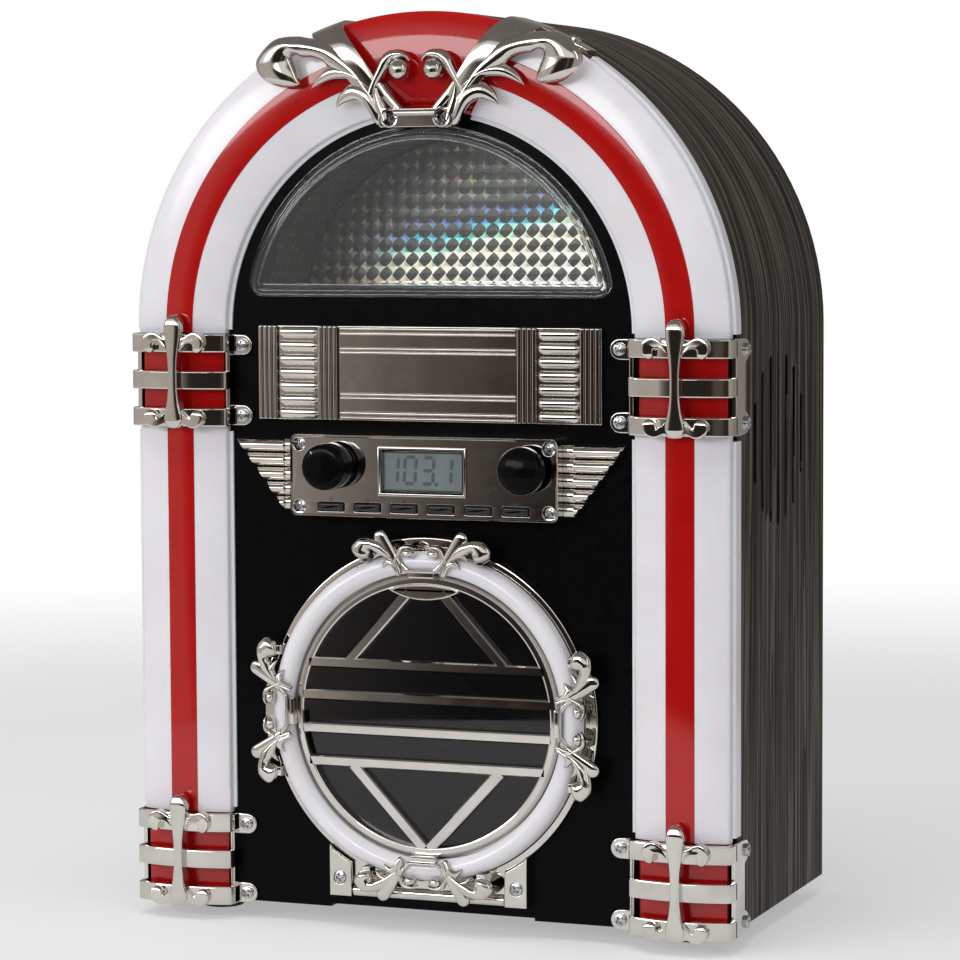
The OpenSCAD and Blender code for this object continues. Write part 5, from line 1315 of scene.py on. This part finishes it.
def makeSigns():
    shape = newShape()
    steps = [(0, fascia["rise"] + p) for p in signs["ink"]]
    z = keyZ + signs["up"]
    r, line = signs["r"], signs["line"]
    patch = lambda outline: addPlate(shape, outline, steps)
    ring = lambda x, a0, a1: patch(arc(x, z, r, a0, a1, 20) + arc(x, z, r - line, a1, a0, 20))
    bar = lambda x: patch(rect(x - line / 2, x + line / 2, z - r, z + r))

    def arrow(x, way):
        back, tip = x - way * signs["arrowBack"], x + way * signs["arrowTip"]
        patch([(back, z - r), (tip, z), (back, z + r)][::way])

    power, again, stop, play, back, ahead = keyPlaces
    ring(power, *signs["power"])
    patch(rect(power - line / 2, power + line / 2, z, z + r + 0.2))
    ring(again, *signs["again"])
    patch([(again + x, z - r + up) for x, up in signs["hook"]])
    half = signs["square"]
    patch(rect(stop - half, stop + half, z - half, z + half))
    arrow(play + signs["play"], 1)
    for x in signs["pause"]:
        bar(play + x)
    for x, way in ((back, -1), (ahead, 1)):
        for shift in signs["skip"]:
            arrow(x + shift * way, way)
        bar(x + signs["skipBar"] * way)

    def letter(sign, x, low):
        for x0, z0, x1, z1 in signs["letters"][sign]:
            a = Vector((x + x0 * signs["letterW"], low + z0 * signs["letterH"]))
            b = Vector((x + x1 * signs["letterW"], low + z1 * signs["letterH"]))
            along = (b - a).normalized()
            side = Vector((-along.y, along.x)) * line / 2
            patch([tuple(q) for q in (a - side, b - side, b + side, a + side)])

    x, middleZ = knobSpots["light"]
    for word, rise in (("ON", signs["on"]), ("OFF", signs["off"])):
        start = x - signs["away"] - len(word) * signs["pitch"] / 2
        for i, sign in enumerate(word):
            letter(sign, start + i * signs["pitch"], middleZ + rise)
    makePiece("keySigns", shape, segmentInk, "cabinet", [])


makeSigns()
print("controls made")

# Disc door
door = {"rim": 69.0, "ringOut": 66.0, "ringIn": 57.5, "ringWall": 1.5, "crest": 9.0, "flange": 2.6,
        "frameOut": 56.9, "frameW": 4.1, "frameRise": 6.0, "barH": 4.1, "bars": (-20.0, -6.75, 6.75, 20.0),
        "barBack": 3.2, "strut": 4.0, "tabR": 71.5, "tabHalf": 17.0, "plateX": 32.65, "hingeZ": 15.2,
        "hingeP": 2.8, "knuckle": 2.3, "back": 0.5, "lensR": 32.6, "lensUp": 26.4, "upperStrut": (7, 33.3),
        "lowerStrut": (1.2, 31.5), "tongueHalf": 3, "tongueTall": 1.2}
frameIn = door["frameOut"] - door["frameW"]


def onDoor(x, z):
    return (x, doorZ + z)


def addBar(shape, a, b, width, p0, p1, edge=0.55):
    a, b = Vector(a), Vector(b)
    along = (b - a).normalized()
    side = Vector((-along.y, along.x)) * width / 2
    flat = 1 - 2 * edge / width
    section = [(-1, p0), (-1, p1 - edge), (-flat, p1), (flat, p1), (1, p1 - edge), (1, p0)]
    loops = [[onDoor(q.x + side.x * k, q.y + side.y * k) + (p,) for k, p in section] for q in (a, b)]
    addLoft(shape, loops)


def addHingePlate(shape, back, front):
    x = door["plateX"]
    r = door["ringOut"] + 0.4
    low = door["hingeZ"] - doorZ
    sweep = math.degrees(math.acos(x / r))
    plate = [(-x, low), (x, low)] + arc(0, 0, r, -sweep, -180 + sweep, 32)
    addPlate(shape, plate, roundEdge(0.45, back, front, 3), onDoor)
    loops = []
    for e, d in ((-1, 0.4), (-0.985, 0), (0.985, 0), (1, 0.4)):   # knuckle round the pin
        loops.append([(x * e, z, p) for p, z in circle(door["hingeP"], door["hingeZ"], door["knuckle"] - d)])
    addLoft(shape, loops)


# Plate in the shape of a lens at the top of the inner frame
def addLensPlate(shape, rise):
    lensR, lensC = door["lensR"], frameIn + door["lensUp"]
    cross = (frameIn ** 2 - lensR ** 2 + lensC ** 2) / (2 * lensC)
    reach = math.sqrt(frameIn ** 2 - cross ** 2)
    a0 = math.degrees(math.atan2(cross, reach))
    b0 = math.degrees(math.atan2(lensC - cross, reach))
    lens = arc(0, 0, frameIn + 0.3, a0, 180 - a0, 24)[:-1]
    lens += arc(0, lensC, lensR, 180 + b0, 360 - b0, 24)[:-1]
    steps = [(0, door["barBack"]), (0, rise + 0.05), (0.2, rise + 0.35), (0.55, rise + 0.4),
             (0.8, rise + 0.1), (0.95, rise - 0.1), (1.05, rise - 0.1), (1.15, rise - 0.1)]
    addPlate(shape, lens, steps, onDoor)


def makeDoorFrame():
    shape = newShape()
    back, flange, rise, barBack = [door[key] for key in ("back", "flange", "frameRise", "barBack")]
    edge, groove, frameOut = door["rim"], door["ringOut"], door["frameOut"]
    rim = [(frameIn + 1.5, back), (edge - 0.3, back), (edge, back + 0.3), (edge, flange - 0.7),
           (edge - 0.2, flange - 0.2), (edge - 0.7, flange), (groove + 0.5, flange), (groove, flange - 0.5),
           (frameIn + 1.5, flange - 0.5)]
    addLathe(shape, rim, 0, doorZ, 144, True)
    inner = [(frameIn + 1.5, back), (frameOut, back), (frameOut, rise - 1.9), (frameOut - 0.3, rise - 1.2),
             (frameOut - 1.5, rise - 0.05), (frameOut - 2.0, rise), (frameOut - 2.1, rise),
             (frameIn + 0.7, rise), (frameIn + 0.6, rise), (frameIn + 0.15, rise - 0.2),
             (frameIn, rise - 0.7), (frameIn, barBack), (frameIn + 1.4, barBack - 0.1)]
    addLathe(shape, inner, 0, doorZ, 144, True)
    half = door["tabHalf"]
    for a in (0, 90, 180):
        tab = arc(0, 0, door["tabR"], a - half, a + half, 16)
        tab += arc(0, 0, edge - 2.6, a + half, a - half, 16)
        addPlate(shape, tab, roundEdge(0.5, back, flange - skinGap, 3), onDoor)
    addHingePlate(shape, back, flange - 0.04)
    for z in door["bars"]:
        reach = math.sqrt((frameIn + 0.6) ** 2 - (abs(z) - door["barH"] / 2) ** 2)
        addBar(shape, (-reach, z), (reach, z), door["barH"], barBack, rise)
    outerBar = door["bars"][-1] + 1
    for s in (-1, 1):
        middle, far = [s * x for x in door["upperStrut"]]
        addBar(shape, (middle, frameIn - 3), (far, outerBar), door["strut"], barBack, rise - 0.03)
        middle, far = [s * x for x in door["lowerStrut"]]
        addBar(shape, (far, -outerBar), (middle, -frameIn - 0.5), door["strut"] + 0.5, barBack, rise - 0.03)
    addLensPlate(shape, rise)
    tongueEnd = faceY - box("door_frame")[1].y
    half, tall = door["tongueHalf"], door["tongueTall"]
    addBlock(shape, -half, half, doorZ + edge - tall, doorZ + edge + tall, tongueEnd, flange - 0.1, 0.3)
    makePiece("doorFrame", shape, chrome, "door", ["door_frame"], 35)


makeDoorFrame()


# Light ring: a hollow half-round bead
def makeLightRing():
    shape = newShape()
    mid = (door["ringOut"] + door["ringIn"]) / 2
    half = (door["ringOut"] - door["ringIn"]) / 2
    hollow = half - door["ringWall"]
    shoulder = door["crest"] - half
    seat = door["flange"] + skinGap
    section = [(mid + half, seat)] + arc(mid, shoulder, half, 0, 180, 20) + [(mid - half, seat)]
    section += [(mid - hollow, seat)] + arc(mid, shoulder, hollow, 180, 0, 12) + [(mid + hollow, seat)]
    addLathe(shape, section, 0, doorZ, 144, True)
    makePiece("doorLightRing", shape, whiteLens, "door", ["door_light_ring"])


makeLightRing()

# Small scrolls on the door: the crown's scroll, smaller and wider in its middle, and a strap behind it
motif = {"scale": 0.43, "deep": 0.62, "widen": 7.0, "peak": 15, "fat": 0.7, "strapRise": 1.5,
         "strapOut": [(11, 12), (20, 26), (27, 36), (30, 39.6), (33.5, 41.6), (36.5, 42)],
         "strapIn": [(22, 9), (33, 21), (41, 30), (43.4, 34), (43, 38), (40, 41)],
         "clip": rect(-7, 7, -2.2, 4.4), "post": rect(51, 60.5, 11.2, 20.5)}


def makeDoorOrnaments():
    shape = newShape()
    base = door["ringIn"] - 0.9
    back = door["crest"] + 0.2
    size = motif["scale"]
    strapOut, strapIn = traced(motif["strapOut"], 20), traced(motif["strapIn"], 20)
    strapRise = lambda t: motif["strapRise"] * min(1, 5 * (1 - t) + 0.1) ** 0.5
    for turn in (0, 90, 180, 270):
        a = math.radians(turn)

        def place(x, z):
            wider = 1 + motif["widen"] / motif["peak"] * math.exp(1 - abs(x) / motif["peak"])
            px, pz = x * wider * size, base + z * size
            return onDoor(px * math.cos(a) + pz * math.sin(a), pz * math.cos(a) - px * math.sin(a))

        for s in (1, -1):
            side = lambda x, z: place(s * x, z)
            addScroll(shape, side, back, motif["deep"], 0, motif["fat"])
            addLeaf(shape, strapOut, strapIn, back - 0.5, 0.6, strapRise, side, 14, 3)
        addScrollBar(shape, place, back, motif["deep"])
        head = [(0, back + 0.3), (0.3, back + 0.6)]
        clip = [place(x, z) for x, z in motif["clip"]]   # holds the bar to the inner frame
        addPlate(shape, clip, [(0, door["frameRise"] - 1.2)] + head)
        for s in (-1, 1):
            post = [place(s * x, z) for x, z in motif["post"]]   # holds the leaf's head to the rim
            addPlate(shape, post, [(0, door["flange"])] + head)
    makePiece("doorOrnaments", shape, chrome, "door", ["door_ornaments"], 50)


makeDoorOrnaments()

# Hinge ears beside the door's foot, each with a sunk screw
ear = {"out": 42.4, "in": 33.0, "thick": 5.2, "sink": 1.4, "hole": 2.7, "cupIn": 2.65, "cupOut": 3.4}
earScrew = ((ear["in"] + ear["out"]) / 2 + 0.3, door["hingeZ"] + 5.2)


def makeEars():
    low = door["hingeZ"] - door["knuckle"]
    r = door["rim"] + 0.35
    a0, a1 = [-math.degrees(math.acos(ear[key] / r)) for key in ("out", "in")]
    outline = [(ear["in"], low), (ear["out"], low)] + arc(0, doorZ, r, a0, a1, 10)
    half = newShape()
    addCutSheet(half, [outline, circle(*earScrew, ear["hole"])], skinGap, ear["thick"], 0.45)
    seat = ear["thick"] - ear["sink"]
    inner, outer = ear["cupIn"], ear["cupOut"]
    cup = [(inner, ear["thick"] - 0.4), (inner, seat), (outer, seat), (outer, ear["thick"] - 0.6)]
    addLathe(half, cup, *earScrew, 24, True)
    makePiece("hingeEars", bothSides(half), chrome, "cabinet", ["hinge_ears"])


makeEars()
print("door made")

# Pan-head screws with a cross recess
screw = {"head": 2.5, "high": 1.6, "round": 0.55, "edge": 0.8, "slotW": 0.42, "slotL": 1.65, "slotEdge": 0.12,
         "slotEnd": 0.2, "deep": 0.95, "turns": 40, "spin": 0.7,
         "radii": [0, 0.25, 0.42, 0.55, 0.8, 1.1, 1.4, 1.6, 1.75, 2.0, 2.25, 2.42]}


def screwHead():
    turns = [2 * math.pi * i / screw["turns"] for i in range(screw["turns"])]
    loops = []
    for r in screw["radii"]:
        loop = []
        for a in turns:
            u, v = abs(r * math.cos(a)), abs(r * math.sin(a))
            inCross = max(min((screw["slotW"] - across) / screw["slotEdge"],
                              (screw["slotL"] - along) / screw["slotEnd"])
                          for across, along in ((u, v), (v, u)))
            dip = screw["deep"] * min(1, max(0, inCross + 0.5))
            dome = screw["high"] - screw["round"] * (r / screw["head"]) ** 2
            loop.append((r * math.cos(a), r * math.sin(a), dome - dip))
        loops.append(loop)
    for r, h in ((screw["head"], screw["edge"]), (screw["head"], 0.0), (0.1, 0.0)):
        loops.append([(r * math.cos(a), r * math.sin(a), h) for a in turns])
    head = newShape()
    addLoft(head, loops, caps=False)
    return head


# Places a head at (x, z, p) with its axis along out, all in drawing coordinates
def addScrew(shape, at, out, spin):
    head = screwHead()
    out = Vector(out).normalized()
    side = Vector((0, 1, 0)).cross(out) if abs(out.y) < 0.9 else Vector((0, 0, 1)).cross(out)
    side.normalize()
    other = out.cross(side)
    placed = []
    for u, v, h in head["points"]:
        a = u * math.cos(spin) - v * math.sin(spin)
        b = u * math.sin(spin) + v * math.cos(spin)
        placed.append(tuple(Vector(at) + side * a + other * b + out * h))
    join(shape, {"points": placed, "faces": head["faces"]})


trim = newShape()
forward = (0, 0, 1)
spots = []
for zc in clampHeights.values():
    for s in (-1, 1):
        for t in (-1, 1):
            z = zc + t * clamp["screws"] / 2
            spots.append(((s * clampScrewX, z, clamp["tab"] + skinGap), forward))
            spots.append(((s * (halfW + clamp["bandT"] + skinGap), z, -clamp["sideY"]), (s, 0, 0)))
for s in (-1, 1):
    spots.append(((s * earScrew[0], earScrew[1], ear["thick"] - ear["sink"] + skinGap), forward))
    spots.append(((s * crown["screwX"], crownZ + crown["screwZ"], crown["seat"]), forward))
    a = math.radians(lug["angle"])
    outX, outZ = s * math.sin(a), math.cos(a)
    r = halfW + strap["thick"] + skinGap
    spots.append(((r * outX, archZ + r * outZ, lug["screwP"]), (outX, outZ, 0)))
for x, z in fasciaScrews:
    spots.append(((x, z, fascia["rise"] - fascia["cup"] + 0.05), forward))
for i, (at, out) in enumerate(spots):
    addScrew(trim, at, out, screw["spin"] * i)
makePiece("trimScrews", trim, steel, "cabinet", ["trim_screws"], 30)

rear = {"inset": 6.5, "heights": (40.0, 130.0, archZ - 21), "turns": (40, 140, 2)}
rearR = halfW - rear["inset"]
rearSpots = [(s * rearR, z) for s in (-1, 1) for z in rear["heights"]]
rearSpots += arc(0, archZ, rearR, *rear["turns"])
rearScrews = newShape()
for i, (x, z) in enumerate(rearSpots):
    addScrew(rearScrews, (x, z, faceY - backY - skinGap), (0, 0, -1), screw["spin"] * i)
makePiece("rearScrews", rearScrews, steel, "cabinet", ["wood_screws"], 30)
print("screws made")

# Floor, lamps, world and camera
floorLook = {"size": 3.2, "near": 0.55, "far": 1.35, "colour": (0.86, 0.86, 0.86, 1), "rough": 0.7,
             "lift": 0.4}


def makeStagePiece(name, points, faces, material):
    mesh = bpy.data.meshes.new(name)
    mesh.from_pydata(points, [], faces)
    mesh.materials.append(material)
    piece = bpy.data.objects.new(name, mesh)
    scene.collection.objects.link(piece)
    return piece


def makeFloor():
    material, tree, shader, out = blankFinish("paleFloor")
    away = addNode(tree, "ShaderNodeVectorMath", operation="LENGTH")
    tree.links.new(objectPlace(tree), away.inputs[0])
    fade = rangeNode(tree, away.outputs["Value"], floorLook["near"], floorLook["far"], 0, 1, smooth=True)
    shader.inputs["Base Color"].default_value = floorLook["colour"]
    shader.inputs["Roughness"].default_value = floorLook["rough"]
    pale = addNode(tree, "ShaderNodeEmission", {"Color": (1, 1, 1, 1), "Strength": 1})
    lift = mathNode(tree, "MULTIPLY", seenRays(tree), floorLook["lift"])
    ground = mixShaders(tree, lift, shader.outputs["BSDF"], pale.outputs[0])
    clear = addNode(tree, "ShaderNodeBsdfTransparent")
    tree.links.new(mixShaders(tree, fade, ground, clear.outputs[0]), out.inputs["Surface"])
    s = floorLook["size"]
    corners = [(x, y, 0) for x, y in rect(-s, s, -s, s)]
    floor = makeStagePiece("floor", corners, [(0, 1, 2, 3)], material)


makeFloor()

# Screens all round, seen only in metal and gloss: dark ahead, taupe at the sides, a bright band above;
# the profile is radius and height in metres, and each ramp gives a colour at a turn in degrees, 0 in front
screens = {"profile": [(0.6, 0.004), (2.3, 0.004), (2.7, 0.2), (2.7, 1.9), (2.2, 2.4), (1.2, 2.7),
                       (0.02, 2.8)],
           "middle": 0.2, "band": (4, 8, 23, 34), "steps": 72, "roof": (0.2, 0.185, 0.17, 1),
           "wall": [(-180, (0.22, 0.2, 0.185, 1)), (-110, (0.4, 0.37, 0.345, 1)), (-60, (0.6, 0.56, 0.52, 1)),
                    (-27.5, (0.58, 0.53, 0.49, 1)), (-25.2, (0.34, 0.31, 0.285, 1)),
                    (-22.5, (0.16, 0.14, 0.128, 1)), (-19, (0.045, 0.037, 0.033, 1)),
                    (-16, (0.028, 0.022, 0.018, 1)), (10, (0.028, 0.022, 0.018, 1)),
                    (13, (0.1, 0.082, 0.07, 1)), (18, (0.1, 0.082, 0.07, 1)), (21, (0.035, 0.028, 0.023, 1)),
                    (36, (0.045, 0.037, 0.032, 1)), (44, (0.4, 0.37, 0.34, 1)), (100, (0.45, 0.42, 0.39, 1)),
                    (180, (0.22, 0.2, 0.185, 1))],
           "above": [(-180, (0.22, 0.2, 0.185, 1)), (-85, (0.4, 0.37, 0.34, 1)), (-66, (1.0, 0.98, 0.95, 1)),
                     (34, (1.0, 0.98, 0.95, 1)), (50, (0.4, 0.37, 0.34, 1)), (180, (0.22, 0.2, 0.185, 1))]}


def makeScreens():
    points = []
    faces = []
    profile, steps = screens["profile"], screens["steps"]
    for i in range(steps):
        a = 2 * math.pi * i / steps
        points += [(r * math.sin(a), -r * math.cos(a), z) for r, z in profile]
        k = i * len(profile)
        n = (i + 1) % steps * len(profile)
        faces += [(k + j, k + j + 1, n + j + 1, n + j) for j in range(len(profile) - 1)]
    material, tree, shader, out = blankFinish("screenCloth")
    x, y, z = splitNode(tree, objectPlace(tree))
    turn = mathNode(tree, "ARCTAN2", x, mathNode(tree, "MULTIPLY", y, -1))
    share = rangeNode(tree, turn, -math.pi, math.pi, 0, 1)
    square = mathNode(tree, "ADD", mathNode(tree, "MULTIPLY", x, x), mathNode(tree, "MULTIPLY", y, y))
    lift = mathNode(tree, "ARCTAN2", mathNode(tree, "SUBTRACT", z, screens["middle"]),
                    mathNode(tree, "SQRT", square))
    wall, above = [rampNode(tree, share, [((a + 180) / 360, colour) for a, colour in screens[key]])
                   for key in ("wall", "above")]
    low, full, fade, end = [math.radians(a) for a in screens["band"]]
    band = mixNode(tree, rangeNode(tree, lift, low, full, 0, 1, smooth=True), wall, above)
    cloth = mixNode(tree, rangeNode(tree, lift, fade, end, 0, 1, smooth=True), band, screens["roof"])
    glow = addNode(tree, "ShaderNodeEmission", {"Strength": 1})
    tree.links.new(cloth, glow.inputs["Color"])
    tree.links.new(glow.outputs[0], out.inputs["Surface"])
    piece = makeStagePiece("screens", points, faces, material)
    piece.visible_camera = False
    piece.visible_diffuse = False
    piece.visible_shadow = False
    piece.visible_transmission = False


makeScreens()

lamps = {
    "frontBox": {"turn": -26, "lift": 16, "away": 2.2, "size": (1.9, 0.5), "power": 19, "shows": True},
    "rightStrip": {"turn": 62, "lift": 22, "away": 2.0, "size": (0.35, 1.5), "power": 2.6, "shows": True},
    "topBox": {"turn": -8, "lift": 74, "away": 2.1, "size": (1.6, 1.6), "power": 22, "shows": False},
    "leftBox": {"turn": -84, "lift": 24, "away": 2.1, "size": (0.9, 1.3), "power": 1.0, "shows": False},
}
middle = Vector((0, 0, 0.18))   # all lamps aim here
for name, lamp in lamps.items():
    data = bpy.data.lights.new(name, "AREA")
    data.shape = "RECTANGLE"
    data.size, data.size_y = lamp["size"]
    data.energy = lamp["power"]
    holder = bpy.data.objects.new(name, data)
    scene.collection.objects.link(holder)
    turn, lift = math.radians(lamp["turn"]), math.radians(lamp["lift"])
    toward = Vector((math.sin(turn) * math.cos(lift), -math.cos(turn) * math.cos(lift), math.sin(lift)))
    holder.location = middle + toward * lamp["away"]
    holder.rotation_euler = toward.to_track_quat("Z", "Y").to_euler()
    holder.visible_camera = False
    holder.visible_glossy = lamp["shows"]   # the roof and side lamps stay out of the reflections

sky = {"fill": 0.3, "seen": 1.0}
world = bpy.data.worlds.new("studio")
scene.world = world
world.use_nodes = True
tree = world.node_tree
tree.nodes.clear()
backdrop = addNode(tree, "ShaderNodeBackground", {"Color": (1, 1, 1, 1)})
strength = rangeNode(tree, seenRays(tree), 0, 1, sky["fill"], sky["seen"])
tree.links.new(strength, backdrop.inputs["Strength"])
worldOut = addNode(tree, "ShaderNodeOutputWorld")
tree.links.new(backdrop.outputs[0], worldOut.inputs["Surface"])

view = {"eye": (524.4, -1350.35, 295.2), "target": (21.6, -53.95, 182.4), "focal": 3527.8, "frame": 960,
        "tilt": 0.005}   # eye and target in millimetres, focal in pixels of the frame, tilt in radians
cameraData = bpy.data.cameras.new("camera")
camera = bpy.data.objects.new("camera", cameraData)
scene.collection.objects.link(camera)
cameraData.sensor_width = 36
cameraData.lens = view["focal"] / view["frame"] * cameraData.sensor_width
cameraData.clip_start = 0.05
eye = Vector(view["eye"]) * mm
ahead = (Vector(view["target"]) * mm - eye).normalized()
side = ahead.cross(Vector((0, 0, 1))).normalized()
above = side.cross(ahead)
c, s = math.cos(view["tilt"]), math.sin(view["tilt"])
turned = Matrix((side * c - above * s, above * c + side * s, -ahead)).transposed()
camera.matrix_world = Matrix.Translation(eye) @ turned.to_4x4()
scene.camera = camera
scene.view_settings.view_transform = "Standard"
print("stage and camera set")
